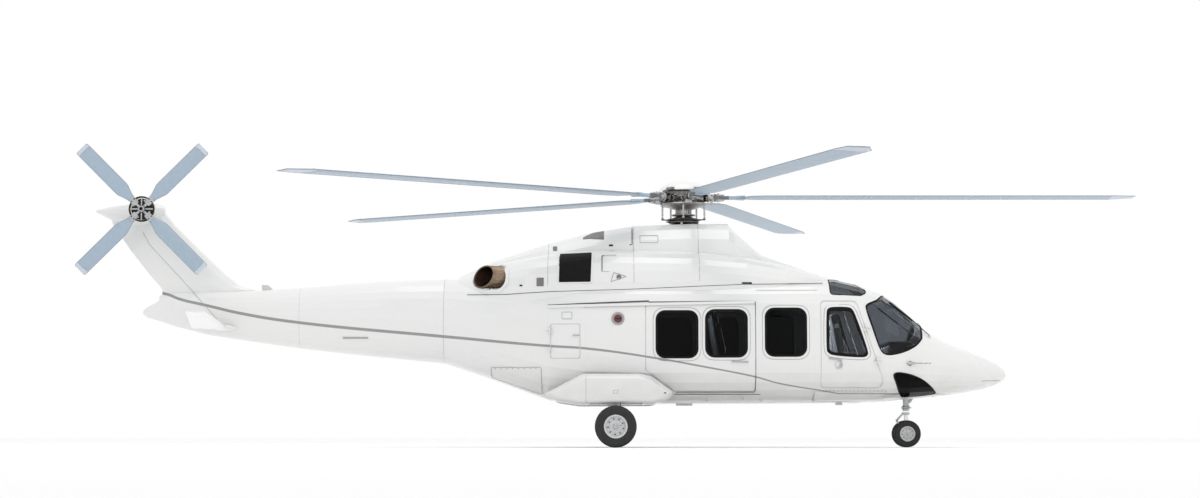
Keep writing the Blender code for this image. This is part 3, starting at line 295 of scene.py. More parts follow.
WINDOW_TRIM = moulded("light_grey_window_surround", "#C4C6C5", 0.34, 0.004, 0.0001, 0.06, Coat_Weight=0.3)
MATT_BLACK = moulded("matt_black_instrument_paint", "#141516", 0.6, 0.002, 0.0002, 0.5)
GREY_PLASTIC = moulded("grey_moulded_trim", "#6F7274", 0.5, 0.003, 0.0003)
HANDLE_GREY = moulded("pale_grey_handle_enamel", "#A9ABAB", 0.4, 0.004, 0.0001, 0.1, Coat_Weight=0.4)
# Near-black for painted shade inside the drain slots and the bore of the tail hub, and for the small dark mark on the
# cowling
SHADE_AND_MARK_BLACK = moulded("painted_shade_and_mark_black", "#0C0C0C", 0.8, 0.01, 0.0008, 0.8)
# Near-black that paints the shade of the intake duct on a plate laid across its hole
INTAKE_SHADE_BLACK = moulded("painted_shade_intake_black", "#080808", 0.6, 0.006, 0.0002, 0.4, Specular_IOR_Level=0.15)
GEAR_ENAMEL = moulded("grey_gear_enamel", "#C9CBCB", 0.36, 0.006, 0.0002, 0.08, Coat_Weight=0.4)
CAP_ENAMEL = moulded("dark_red_enamel", "#5E1A1C", 0.4, 0.004, 0.0001, 0.2, Coat_Weight=0.5)
LEATHER = grained_leather()
PIPING = moulded("dark_leather_piping", "#3A393A", 0.5, 0.004, 0.0003, 0.2)
CARPET = loop_carpet()
PALE_SCREEN = woven_mesh("stainless_vent_screen", "#6A6968", "#A6A4A2")
WEBBING = moulded("woven_belt_webbing", "#2A2C30", 0.8, 0.003, 0.0006)
CLEAR_LAMP = lamp_glass("clear_lamp_glass", "#DDE4EA", 0.15)
DISPLAY = lamp_glass("flat_panel_display", "#0E1A24", 0.05)

SLOT_MATERIALS = {
    "airframe_paint": PAINT, "composite_paint": PAINT, "blade_paint": BLADE, "gear_steel": HEAD_STEEL,
    "exhaust_steel": EXHAUST, "engine_alloy": ALLOY, "glazing": ACRYLIC, "tyre": TYRE, "seat_leather": LEATHER,
    "panel": MATT_BLACK,
}


def dress_solids():
    """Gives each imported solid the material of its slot."""
    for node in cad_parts.values():
        slot = node.data.materials[0].name.split(".")[0]
        dark = node.name.startswith(("door_window", "cabin_window", "chin_window"))
        for place in node.material_slots:
            place.material = DARK_ACRYLIC if dark else SLOT_MATERIALS[slot]


# Where the skin is

def search_tree(prefixes):
    """A search tree over the faces of the nodes whose names start so."""
    points, faces = [], []
    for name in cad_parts:
        if name.startswith(prefixes):
            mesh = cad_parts[name].data
            start = len(points)
            points += [vertex.co.copy() for vertex in mesh.vertices]
            faces += [[start + index for index in face.vertices] for face in mesh.polygons]
    return BVHTree.FromPolygons(points, faces)


OUTER_SKIN = search_tree((
    "cabin_shell", "cabin_door", "cabin_window", "door_window", "cockpit_shell", "crew_door", "nose_cone",
    "rear_fuselage", "tail_boom", "engine_cowling", "mast_fairing", "sponson", "baggage_door", "windshield",
    "eyebrow", "chin",
))
PROBES = ((0.0, 0.0), (0.012, 0.0), (-0.012, 0.0), (0.0, 0.012), (0.0, -0.012))


def on_side(x, z):
    """The outermost point of the starboard skin at this station and height. It looks past the door gaps."""
    rays = [OUTER_SKIN.ray_cast(Vector((x + dx, -3.0, z + dz)), -STARBOARD)[0] for dx, dz in PROBES]
    found = [hit.y for hit in rays if hit is not None]
    return Vector((x, min(found), z)) if found else OUTER_SKIN.find_nearest(Vector((x, -1.2, z)))[0]


def on_top(x, y):
    """The highest point of the skin at this station and this far out."""
    hit = OUTER_SKIN.ray_cast(Vector((x, y, 5.0)), DOWN)[0]
    return hit if hit is not None else Vector((x, y, 2.4))


def under(x, y):
    """The lowest point of the skin at this station and this far out."""
    hit = OUTER_SKIN.ray_cast(Vector((x, y, -1.0)), -DOWN)[0]
    return hit if hit is not None else Vector((x, y, 0.64))


def across_intake(x, z):
    """The skin's surface carried straight across the hole of the intake."""
    behind, ahead = on_side(-0.79, z), on_side(-0.24, z)
    return behind.lerp(ahead, (x - behind.x) / (ahead.x - behind.x))


def proud(x, z, height):
    """A point this far outside the starboard skin."""
    return on_side(x, z) + STARBOARD * height


# Modelling helpers

def only(piece):
    """Makes this piece the only one selected."""
    bpy.ops.object.select_all(action="DESELECT")
    piece.select_set(True)
    bpy.context.view_layer.objects.active = piece


def mode(name):
    """Opens or closes editing."""
    bpy.ops.object.mode_set(mode=name)


def select_all():
    """Selects all of the mesh that is open."""
    bpy.ops.mesh.select_all(action="SELECT")


def new_object(name, data):
    """A linked object with this data, the only one selected."""
    made = bpy.data.objects.new(name, data)
    bpy.context.scene.collection.objects.link(made)
    only(made)
    return made


def begin(name, kind, **shape):
    """Adds a primitive at its size and place, all of it selected, and opens it for editing."""
    bpy.ops.object.select_all(action="DESELECT")
    getattr(bpy.ops.mesh, f"primitive_{kind}_add")(**shape)
    piece = bpy.context.object
    piece.name = piece.data.name = name
    bpy.ops.object.transform_apply(location=True, rotation=True, scale=True)
    mode("EDIT")
    return piece


def cube(name, low, high):
    """A block between two corners, open for editing."""
    low, high = Vector(low), Vector(high)
    return begin(name, "cube", size=1.0, location=(low + high) / 2, scale=high - low)


def unit_grid(name, columns, rows):
    """A flat grid from -0.5 to 0.5 both ways, whose points are then put in place one by one."""
    piece = begin(name, "grid", x_subdivisions=columns, y_subdivisions=rows, size=1.0)
    mode("OBJECT")
    return piece


def pick(piece, kind, test):
    """Selects only the faces, edges or vertices that pass the test."""
    bpy.ops.mesh.select_mode(type={"faces": "FACE", "edges": "EDGE", "verts": "VERT"}[kind])
    bpy.ops.mesh.select_all(action="DESELECT")
    shape = bmesh.from_edit_mesh(piece.data)
    shape.verts.ensure_lookup_table()
    for part in getattr(shape, kind):
        if test(part):
            part.select = True
    shape.select_flush_mode()
    bmesh.update_edit_mesh(piece.data)


def pick_facing(piece, direction, least=0.9):
    """Selects the faces that point this way."""
    way = Vector(direction).normalized()
    pick(piece, "faces", lambda face: face.normal.dot(way) > least)


def picked_middle(piece):
    """The middle of the selected face that is furthest aft, whatever order the faces are in."""
    middles = [face.calc_center_median() for face in bmesh.from_edit_mesh(piece.data).faces if face.select]
    return min(middles, key=lambda middle: middle.x)


def extrude(move, share=None, about=None):
    """Extrudes what is selected, and resizes its new end by this share about a point."""
    bpy.ops.mesh.extrude_region_move(TRANSFORM_OT_translate={"value": move})
    if share is not None:
        bpy.ops.transform.resize(value=share, center_override=about)


def shade(smooth=35.0):
    """Shades the selected piece by angle."""
    bpy.ops.object.shade_smooth_by_angle(angle=math.radians(smooth))


def leave(piece, smooth=35.0):
    """Closes editing, with the faces turned outwards and shaded by angle."""
    bpy.ops.mesh.select_mode(type="VERT")
    select_all()
    bpy.ops.mesh.normals_make_consistent(inside=False)
    mode("OBJECT")
    only(piece)
    shade(smooth)
    return piece


def modify(piece, kind, **settings):
    """Adds a modifier with these settings and applies it."""
    only(piece)
    step = piece.modifiers.new(kind.lower(), kind)
    for name, value in settings.items():
        setattr(step, name, value)
    bpy.ops.object.modifier_apply(modifier=step.name)
    return piece


def soften(piece, width, segments=2):
    """Rounds the sharp edges and shades by angle."""
    modify(piece, "BEVEL", width=width, segments=segments, limit_method="ANGLE", angle_limit=math.radians(30))
    shade()
    return piece


def thicken(piece, depth, soft=0.0, **settings):
    """Gives an open sheet its depth inwards, and eases its edges."""
    modify(piece, "SOLIDIFY", thickness=depth, offset=-1.0, **settings)
    return soften(piece, soft) if soft else piece


def put_on(piece, body, slot, material, *replaced):
    """The finished piece: its material and the body that it moves with. The slot is not used."""
    piece.data.materials.clear()
    piece.data.materials.append(material)
    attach(piece, body)
    if replaced:
        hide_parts(*replaced)
    return piece


def copy_of(piece, name, matrix):
    """A copy with its own mesh, moved by the matrix. A mirrored copy has its faces turned back outwards."""
    other = piece.copy()
    other.data = piece.data.copy()
    other.name = other.data.name = name
    bpy.context.scene.collection.objects.link(other)
    other.data.transform(matrix)
    if matrix.determinant() < 0:
        other.data.flip_normals()
    return other


def port(name):
    """The port name of a starboard piece, body or node."""
    return name.replace("_right", "_left")


def both_sides(piece, body, slot, material, *replaced):
    """Puts a starboard piece and its port copy on their bodies."""
    put_on(piece, body, slot, material, *replaced)
    other = copy_of(piece, port(piece.name), Matrix.Diagonal((1.0, -1.0, 1.0, 1.0)))
    put_on(other, port(body), slot, material, *(port(name) for name in replaced if port(name) != name))


def skin(piece, material, body="airframe"):
    """A starboard piece of the skin and its port copy."""
    both_sides(piece, body, "airframe_paint", material)


def join_all(name, pieces):
    """Joins pieces into one object of this name."""
    bpy.ops.object.select_all(action="DESELECT")
    for piece in pieces:
        piece.select_set(True)
    bpy.context.view_layer.objects.active = pieces[0]
    if len(pieces) > 1:
        bpy.ops.object.join()
    joined = bpy.context.object
    joined.name = joined.data.name = name
    return joined


def remove(pieces):
    """Removes the pieces that others were copied from."""
    for piece in pieces:
        bpy.data.objects.remove(piece)


def turned_about(centre, degrees, axis="Z"):
    """The move of a part drawn at the origin to a centre, turned by this much on the way."""
    return Matrix.Translation(centre) @ Matrix.Rotation(math.radians(degrees), 4, axis)


# Flat drawings

def along(route, pitch, closed=False):
    """Points along a route of straight pieces, no more than the pitch apart."""
    points = []
    for start, end in zip(route, route[1:] + route[:1] if closed else route[1:]):
        start, end = Vector(start), Vector(end)
        count = max(1, math.ceil((end - start).length / pitch))
        points += [start + (end - start) * k / count for k in range(count)]
    return points if closed else points + [Vector(route[-1])]


def rounded(corners, radius, steps=5):
    """The outline of a polygon of (x, z) corners, with arcs of this radius."""
    outline = []
    for k, corner in enumerate(corners):
        here = Vector(corner)
        before = Vector(corners[k - 1]) - here
        after = Vector(corners[(k + 1) % len(corners)]) - here
        reach_back = min(radius / math.tan(before.angle(after) / 2), 0.45 * before.length, 0.45 * after.length)
        first = here + before.normalized() * reach_back
        last = here + after.normalized() * reach_back
        for step in range(steps + 1):
            share = step / steps
            outline.append(tuple(first.lerp(here, share).lerp(here.lerp(last, share), share)))
    return outline


def box(low_x, low_z, high_x, high_z):
    """The corners of an upright rectangle."""
    return [(low_x, low_z), (high_x, low_z), (high_x, high_z), (low_x, high_z)]


def grown(corners, outwards):
    """A polygon's corners moved outwards by this much."""
    count = len(corners)
    area = sum(corners[k - 1][0] * corners[k][1] - corners[k][0] * corners[k - 1][1] for k in range(count))
    turn = 1.0 if area > 0 else -1.0
    moved = []
    for k in range(count):
        here = Vector(corners[k])
        back = (here - Vector(corners[k - 1])).normalized()
        ahead = (Vector(corners[(k + 1) % count]) - here).normalized()
        normals = [Vector((side.y, -side.x)) * turn for side in (back, ahead)]
        middle = (normals[0] + normals[1]).normalized()
        moved.append(tuple(here + middle * outwards / middle.dot(normals[0])))
    return moved


def eased(corners, rounds=2, closed=True):
    """An outline with its corners cut smooth."""
    for step in range(rounds):
        pairs = [(corners[k - 1], corners[k]) for k in range(0 if closed else 1, len(corners))]
        cut = [Vector(a).lerp(Vector(b), share) for a, b in pairs for share in (0.25, 0.75)]
        corners = cut if closed else [Vector(corners[0]), *cut[1:-1], Vector(corners[-1])]
    return corners


def reach(corners, centre, way):
    """How far a closed outline is from the centre in this direction."""
    best = 0.0
    for k, corner in enumerate(corners):
        start = Vector(corners[k - 1]) - centre
        edge = Vector(corner) - centre - start
        turn = way.x * edge.y - way.y * edge.x
        if abs(turn) > 1e-9:
            share = (start.x * way.y - start.y * way.x) / turn
            if -1e-6 <= share <= 1.000001:
                best = max(best, (start.x * edge.y - start.y * edge.x) / turn)
    return best


# Pieces

def tube(name, points, radius, sides=8, closed=False):
    """A round rod, bead or pipe along these points."""
    curve = bpy.data.curves.new(name, "CURVE")
    curve.dimensions = "3D"
    curve.bevel_depth = radius
    curve.bevel_resolution = max(0, sides // 2 - 2)
    curve.use_fill_caps = not closed
    line = curve.splines.new("POLY")
    line.points.add(len(points) - 1)
    for point, at in zip(line.points, points):
        point.co = (*at, 1.0)
    line.use_cyclic_u = closed
    new_object(name, curve)
    bpy.ops.object.convert(target="MESH")
    shade(50)
    return bpy.context.object


def seam(name, route, width, closed=False, pitch=0.06, sunk=0.35):
    """A sealed joint line on the starboard skin, from (x, z) points: a bead that stands a little proud."""
    points = [proud(x, z, -sunk * width / 2) for x, z in along(route, pitch, closed)]
    return tube(name, points, width / 2, 6, closed)


def face_out(piece):
    """Turns the faces of an open starboard sheet away from the centre plane."""
    if sum(face.normal.y * face.area for face in piece.data.polygons) > 0:
        piece.data.flip_normals()


def settle(piece, lift, face=on_side):
    """Moves each vertex of a flat x-z plate onto the skin, this far outside it, and faces it outwards."""
    mode("OBJECT")
    for vertex in piece.data.vertices:
        vertex.co.y = face(vertex.co.x, vertex.co.z).y - lift
    piece.data.update()
    face_out(piece)


def ring(name, corners, radius, width, lift, depth, soft=0.0, cuts=5):
    """A frame of this width inside a rounded outline, laid on the starboard skin and given its depth inwards."""
    middle = [sum(corner[axis] for corner in corners) / len(corners) for axis in (0, 1)]
    piece = begin(
        name, "circle", vertices=len(corners), radius=0.1, fill_type="NGON",
        location=(middle[0], 0.0, middle[1]), rotation=(math.pi / 2, 0.0, 0.0),
    )
    # The circle's corners run the same way round as the list, so each one moves to its own place
    for index, (x, z) in enumerate(corners):
        pick(piece, "verts", lambda vertex: vertex.index == index)
        at = bmesh.from_edit_mesh(piece.data).verts[index].co
        bpy.ops.transform.translate(value=(x - at.x, -at.y, z - at.z))
    select_all()
    if radius:
        bpy.ops.mesh.bevel(offset=radius, segments=5, affect="VERTICES")
    pick(piece, "faces", lambda face: True)
    bpy.ops.mesh.inset(thickness=width, depth=0.0)
    bpy.ops.mesh.delete(type="FACE")
    pick(piece, "edges", lambda edge: edge.calc_length() > 0.10)
    bpy.ops.mesh.subdivide(number_cuts=cuts)
    select_all()
    settle(piece, lift)
    return thicken(piece, depth, soft, use_even_offset=False)


def plate(name, low, high, radius, lift, depth, soft=0.0, cells=6, face=on_side):
    """A curved plate between two (x, z) corners, laid on the starboard skin and given its depth inwards."""
    middle = ((low[0] + high[0]) / 2, 0.0, (low[1] + high[1]) / 2)
    piece = begin(
        name, "grid", x_subdivisions=cells, y_subdivisions=cells, size=1.0, rotation=(math.pi / 2, 0.0, 0.0),
        location=middle,
    )
    bpy.ops.transform.resize(value=(high[0] - low[0], 1.0, high[1] - low[1]), center_override=middle)
    if radius:
        pick(piece, "verts", lambda vertex: len(vertex.link_edges) == 2)
        bpy.ops.mesh.bevel(offset=radius, segments=4, affect="VERTICES")
    settle(piece, lift, face)
    return thicken(piece, depth, soft)


def disc(name, centre, radius, depth, dish=0.35, axis="Y"):
    """A round cover that faces starboard or forwards, with a raised rim and a dished middle."""
    rotation, outward = {"Y": ((math.pi / 2, 0.0, 0.0), (0, -1, 0)), "X": ((0.0, math.pi / 2, 0.0), X)}[axis]
    piece = begin(name, "cylinder", vertices=32, radius=radius, depth=depth, location=centre, rotation=rotation)
    pick_facing(piece, outward)
    bpy.ops.mesh.inset(thickness=radius * 0.18, depth=0.0)
    bpy.ops.mesh.inset(thickness=radius * 0.08, depth=-depth * dish)
    mode("OBJECT")
    return soften(piece, min(depth * 0.12, radius * 0.05))


def turned(name, profile, start, axis=Z, sides=24, smooth=30.0):
    """A turned piece: a disc of the first radius, extruded and resized along (radius, distance) points in mm."""
    way, start = Vector(axis).normalized(), Vector(start)
    profile = [(radius / 1000, distance / 1000) for radius, distance in profile]
    piece = begin(
        name, "circle", vertices=sides, radius=profile[0][0], fill_type="NGON",
        location=start + way * profile[0][1], rotation=way.to_track_quat("Z", "Y").to_euler(),
    )
    for (radius, distance), (next_radius, next_distance) in zip(profile, profile[1:]):
        share = next_radius / radius
        extrude(way * (next_distance - distance), (share, share, share), start + way * next_distance)
    return leave(piece, smooth)


def spun(name, outline, centre, axis=Z, steps=48, smooth=30.0):
    """A ring: a closed outline of (radius, distance) points in mm, spun round the axis."""
    way = Vector(axis).normalized()
    out = way.orthogonal().normalized()
    piece = begin(name, "circle", vertices=len(outline), radius=0.1)
    shape = bmesh.from_edit_mesh(piece.data)
    for vertex, (radius, distance) in zip(shape.verts, outline):
        vertex.co = Vector(centre) + out * (radius / 1000) + way * (distance / 1000)
    bmesh.update_edit_mesh(piece.data)
    select_all()
    bpy.ops.mesh.spin(steps=steps, angle=FULL_TURN, center=centre, axis=way)
    select_all()
    bpy.ops.mesh.remove_doubles(threshold=0.00005)
    return leave(piece, smooth)


def block(name, low, high, soft, *steps, turn=0.0):
    """A machined block between two corners with its ends drawn in by extrusions of (direction, distance, share),
    turned about its own y axis."""
    piece = cube(name, low, high)
    for direction, distance, share in steps:
        way = Vector(direction).normalized()
        far = max(vertex.co.dot(way) for vertex in bmesh.from_edit_mesh(piece.data).verts)
        pick(
            piece, "faces",
            lambda face: face.normal.dot(way) > 0.7 and abs(face.calc_center_median().dot(way) - far) < 0.0005,
        )
        extrude(way * distance, (share, share, share), picked_middle(piece) + way * distance)
    mode("OBJECT")
    if turn:
        at = (Vector(low) + Vector(high)) / 2
        piece.data.transform(turned_about(at, turn, "Y") @ Matrix.Translation(-at))
    return soften(piece, soft)


def loft(name, rings, smooth=35.0):
    """A closed skin through rings of the same number of points. An aerofoil's taper needs this."""
    count = len(rings[0])
    points = [tuple(point) for ring_points in rings for point in ring_points]
    faces = [tuple(range(count)), tuple(range(len(points) - count, len(points)))]
    for base in range(0, len(points) - count, count):
        for k in range(count):
            after = (k + 1) % count
            faces.append((base + k, base + after, base + count + after, base + count + k))
    mesh = bpy.data.meshes.new(name)
    mesh.from_pydata(points, [], faces)
    piece = new_object(name, mesh)
    mode("EDIT")
    return leave(piece, smooth)


def bolt_ring(name, centre, axis, radius, count, size, height):
    """Hexagon bolt heads of this size in mm round a circle, each with a washer under it."""
    way = Vector(axis).normalized()
    out = way.orthogonal().normalized()
    profile = [(size * 1.35, 0.0), (size * 1.35, height * 0.25), (size, height * 0.25), (size, height * 0.9),
               (size * 0.75, height)]
    return join_all(name, [
        turned(f"{name}_{k}", profile, Vector(centre) + Matrix.Rotation(FULL_TURN * k / count, 3, way) @ out * radius,
               way, 6)
        for k in range(count)
    ])


# The doors, windows and seams of the skin

WINDOWS = {
    "aft_window": box(0.66, 1.289, 1.267, 1.975),
    "forward_window": box(1.375, 1.300, 1.980, 1.990),
    "cabin_window": box(2.238, 1.312, 2.836, 2.012),
}
WINDOW_CORNER = 0.13
CREW_DOOR = [(3.04, 0.856), (3.915, 0.856), (3.960, 0.950), (3.565, 2.125), (3.04, 2.125)]
BAGGAGE_DOOR = box(-0.870, 1.285, -0.435, 1.790)


def rim_of(node):
    """The closed edge of a pane's outer face, as points in order."""
    shape = bmesh.new()
    shape.from_mesh(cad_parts[node].data)
    bmesh.ops.remove_doubles(shape, verts=shape.verts, dist=0.00005)
    shape.normal_update()
    outer = set()
    for face in shape.faces:
        centre = face.calc_center_median()
        if face.normal.dot(Vector((0.0, centre.y, centre.z - 1.4)).normalized()) > 0.45:
            outer.add(face)
    links = {}
    for edge in shape.edges:
        if sum(face in outer for face in edge.link_faces) == 1:
            first, second = edge.verts
            links.setdefault(first, []).append(second)
            links.setdefault(second, []).append(first)
    start = here = next(iter(links))
    before, points = None, []
    while not points or here is not start and len(points) <= 400:
        points.append(here.co.copy())
        before, here = here, next(vertex for vertex in links[here] if vertex is not before)
    shape.free()
    return points


def round_section(x, middle_z, angles):
    """Points of the outer skin around a station, at these angles from the starboard side upwards."""
    points = []
    for angle in angles:
        way = Vector((0.0, -math.cos(angle), math.sin(angle)))
        hit = OUTER_SKIN.ray_cast(Vector((x, 0.0, middle_z)) + way * 4.0, -way)[0]
        if hit is not None:
            points.append(hit - way * 0.002)
    return points


def unrolled(point):
    """A point of the hull as its station and its way round from the side, so that outlines are drawn flat."""
    return Vector((point[0], HULL_RADIUS * math.atan2(point[2] - HULL_AXIS_Z, -point[1])))


def wrapped(station, way, lift):
    """The place on the hull's skin of a point of the flat drawing, this far outside the skin."""
    out = Vector((0.0, -math.cos(way / HULL_RADIUS), math.sin(way / HULL_RADIUS)))
    rays = [
        OUTER_SKIN.ray_cast(Vector((station + nudge, 0.0, HULL_AXIS_Z)) + out * 4.0, -out)
        for nudge in (0.0, 0.005, -0.005)
    ]
    far = 4.0 - min((distance for hit, normal, index, distance in rays if hit is not None), default=3.0)
    return Vector((station, 0.0, HULL_AXIS_Z)) + out * far + out * lift


def band(name, outline, inside, rim, outwards, lift, depth):
    """A band of the skin along a closed flat outline, from this far inside it, or else this far outwards, to past
    the rim of the solid pane."""
    centre = sum((Vector(point) for point in outline), Vector((0.0, 0.0))) / len(outline)
    piece = unit_grid(name, 160, 3)
    for vertex in piece.data.vertices:
        turn = FULL_TURN * (vertex.co.x + 0.5)
        way = Vector((math.cos(turn), math.sin(turn)))
        edge, pane = reach(outline, centre, way), reach(rim, centre, way)
        if outwards:
            low, high = edge - 0.001, max(edge + outwards, pane + 0.012)
        else:
            low, high = min(edge - inside, pane - 0.008), edge
        place = centre + way * (low + (high - low) * (vertex.co.y + 0.5))
        vertex.co = wrapped(place.x, place.y, lift)
    piece.data.update()
    mode("EDIT")
    select_all()
    bpy.ops.mesh.remove_doubles(threshold=0.0002)
    bpy.ops.mesh.normals_make_consistent(inside=False)
    mode("OBJECT")
    face_out(piece)
    return thicken(piece, depth, 0.0012)


PANES = {
    # node: the (x, z) points of its outline on the side, its (x, y) points on the belly, its body
    "windshield": ([
        (4.556, 1.590), (4.475, 1.481), (4.321, 1.392), (4.156, 1.341), (4.022, 1.323), (3.939, 1.353),
        (3.890, 1.424), (3.805, 1.666), (3.687, 2.030), (3.726, 2.089), (3.895, 2.158),
    ], (), "airframe"),
    "chin_window": ([
        (4.157, 0.884), (4.085, 1.040), (4.114, 1.082), (4.186, 1.094), (4.362, 1.064), (4.540, 0.994),
        (4.690, 0.887), (4.790, 0.790),
    ], ((4.760, -0.400), (4.300, -0.420), (4.225, -0.640)), "airframe"),
    "crew_door_window": ([
        (3.118, 1.415), (3.138, 1.363), (3.209, 1.322), (3.651, 1.291), (3.723, 1.322), (3.734, 1.384),
        (3.543, 1.939), (3.503, 2.007), (3.451, 2.032), (3.215, 2.032), (3.155, 2.015), (3.122, 1.970),
    ], (), "crew_door_right"),
}


def windshield_top(edge):
    """The top edge of the windshield and its edge beside the middle post, from above."""
    post = max(point.y for point in edge) - 0.004
    over = []
    for y in (-0.50, -0.35, -0.20, post):
        stations = (3.90 + 0.004 * k for k in range(90))
        over.append((next(x for x in stations if on_top(x, y).z < 2.158 + 0.45 * (x - 3.895)), y))
    start = over[-1][0]
    over += [(start + (4.52 - start) * k / 9, post) for k in range(1, 10)]
    return [unrolled(on_top(x, y)) for x, y in over + [(4.583, post - 0.10), (4.578, -0.36)]]


def pane_frames():
    """White skin bands that give the glued panes their curved outlines, with black rubber inside them."""
    for node, (side_points, belly_points, body) in PANES.items():
        edge = rim_of(f"{node}_right")
        rim = [unrolled(point) for point in edge]
        closed = node == "crew_door_window"
        route = along([tuple(point) for point in eased(side_points, 3, closed)], 0.03, closed)
        outline = [unrolled(on_side(*point)) for point in route]
        outline += [unrolled(under(x, y)) for x, y in belly_points]
        if node == "windshield":
            outline += windshield_top(edge)
        outline = eased(outline)
        rubber, outwards = (0.050, 0.030) if closed else (0.030, 0.014)
        skin(band(f"{node}_rubber_right", outline, rubber, rim, 0.0, 0.0028, 0.006), BLACK_RUBBER, body)
        skin(band(f"{node}_frame_right", outline, 0.0, rim, outwards, 0.0045, 0.008), PAINT, body)
        if closed:
            around = grown([tuple(point) for point in route], 0.035)
            skin(seam("crew_window_joint_right", around, 0.008, True, 0.03), GREY_SEAL, body)


def window_frames():
    """Raised white surrounds with black rubber inside them and a fine joint around them."""
    for name, corners in WINDOWS.items():
        for kind, out, width, lift, depth, soft, material in (
            ("surround", 0.038, 0.030, 0.006, 0.009, 0.002, PAINT),
            ("rubber", 0.006, 0.030, 0.0035, 0.006, 0.0, BLACK_RUBBER),
        ):
            edge = grown(corners, out)
            skin(ring(f"{name}_{kind}_right", edge, WINDOW_CORNER + out, width, lift, depth, soft), material)
        joint = rounded(grown(corners, 0.042), WINDOW_CORNER + 0.042)
        skin(seam(f"{name}_joint_right", joint, 0.008, True, 0.03), GREY_SEAL)
    skin(tube("eyebrow_window_bead_right", rim_of("eyebrow_window_right"), 0.009, closed=True), BLACK_RUBBER)


SKIN_SEAMS = (
    # name, (x, z) route, width, closed, material
    ("sliding_door_seal", [(0.56, 2.103), (2.085, 2.115), (2.10, 2.10), (2.10, 0.82), (2.08, 0.80), (0.95, 0.80)],
     0.010, False, SEALANT),
    ("sliding_door_rear_joint", [(0.51, 2.09), (0.51, 1.12), (0.93, 0.81)], 0.006, False, GREY_SEAL),
    ("crew_door_seal", rounded(grown(CREW_DOOR, -0.005), 0.066), 0.014, True, PALE_SEAL),
    ("baggage_door_seal", rounded(grown(BAGGAGE_DOOR, -0.005), 0.027), 0.014, True, PALE_SEAL),
    # The aft part of the door rail, a proud bead in dark sealant: its dark colour is painted shade under the rail
    ("rear_rail_with_painted_shade", [(-0.905, 2.060), (0.560, 2.116)], 0.020, False, SEALANT),
    ("step_panel_joint", rounded(grown([(2.965, 0.665), (3.990, 0.685), (3.990, 0.792), (2.965, 0.780)], 0.004), 0.02),
     0.007, True, GREY_SEAL),
    ("sliding_door_track", [(0.93, 0.768), (2.18, 0.768)], 0.009, False, SEALANT),
    ("rear_hatch_joint", rounded([(-1.744, 1.167), (-1.003, 1.160), (-0.995, 0.765), (-1.744, 1.025)], 0.03), 0.008,
     True, GREY_SEAL),
    ("access_panel_joint", rounded(box(-0.70, 1.857, -0.555, 1.959), 0.012), 0.006, True, GREY_SEAL),
    ("fin_joint", [(-6.975, 3.20), (-6.867, 3.010), (-5.83, 1.90)], 0.008, False, GREY_SEAL),
    ("cowling_edge", [(-2.10, 2.236), (-1.524, 2.230), (-0.892, 2.262), (0.142, 2.288), (0.432, 2.299),
                      (1.902, 2.365), (3.10, 2.392)], 0.010, False, SEALANT),
    ("deck_panel_joint", [(-0.120, 2.555), (-0.120, 2.790), (-0.100, 2.800)], 0.013, False, SEALANT),
    ("deck_panel_top_joint", [(-0.110, 2.802), (0.090, 2.806)], 0.008, False, GREY_SEAL),
    ("deck_panel_lower_joint", [(-0.120, 2.555), (-0.010, 2.552)], 0.006, False, GREY_SEAL),
    ("mast_panel_joint", rounded(box(0.441, 3.010, 0.706, 3.120), 0.015), 0.007, True, GREY_SEAL),
    ("fairing_step", [(0.325, 3.235), (0.325, 2.985), (0.285, 2.975)], 0.013, False, SEALANT),
    ("nose_joint", [(5.47, 0.974), (5.78, 0.982)], 0.006, False, GREY_SEAL),
    ("roof_joint", [(2.12, 2.28), (3.00, 2.28)], 0.006, False, GREY_SEAL),
    ("sponson_joint", [(-0.349, 1.035), (-0.349, 0.655)], 0.007, False, GREY_SEAL),
    ("sponson_cap_joint", rounded(box(0.038, 0.772, 0.110, 0.816), 0.014), 0.008, True, GREY_SEAL),
)
ROUND = [FULL_TURN * k / 72 for k in range(72)]
ARCH = [math.radians(4 + 172 * k / 60) for k in range(61)]
HOOPS = (
    # name, station, height of the middle, angles, width
    ("boom_joint_hoop", -2.450, 1.85, ROUND, 0.008), ("boom_frame_hoop", -4.60, 1.92, ROUND, 0.006),
    ("cowling_hoop_aft", -0.910, 2.28, ARCH, 0.009), ("cowling_hoop_middle", 0.345, 2.32, ARCH, 0.009),
    ("fairing_hoop", 1.300, 2.35, ARCH, 0.009),
)


def skin_seams():
    """The sealed joints between the panels, as dark or grey beads in the skin."""
    for name, route, width, closed, material in SKIN_SEAMS:
        skin(seam(f"{name}_right", route, width, closed, 0.06, -0.3 if name == "rear_rail_with_painted_shade" else 0.35), material)
    for name, x, middle, angles, width in HOOPS:
        piece = tube(name, round_section(x, middle, angles), width / 2, 6, closed=angles is ROUND)
        put_on(piece, "airframe", "airframe_paint", GREY_SEAL)


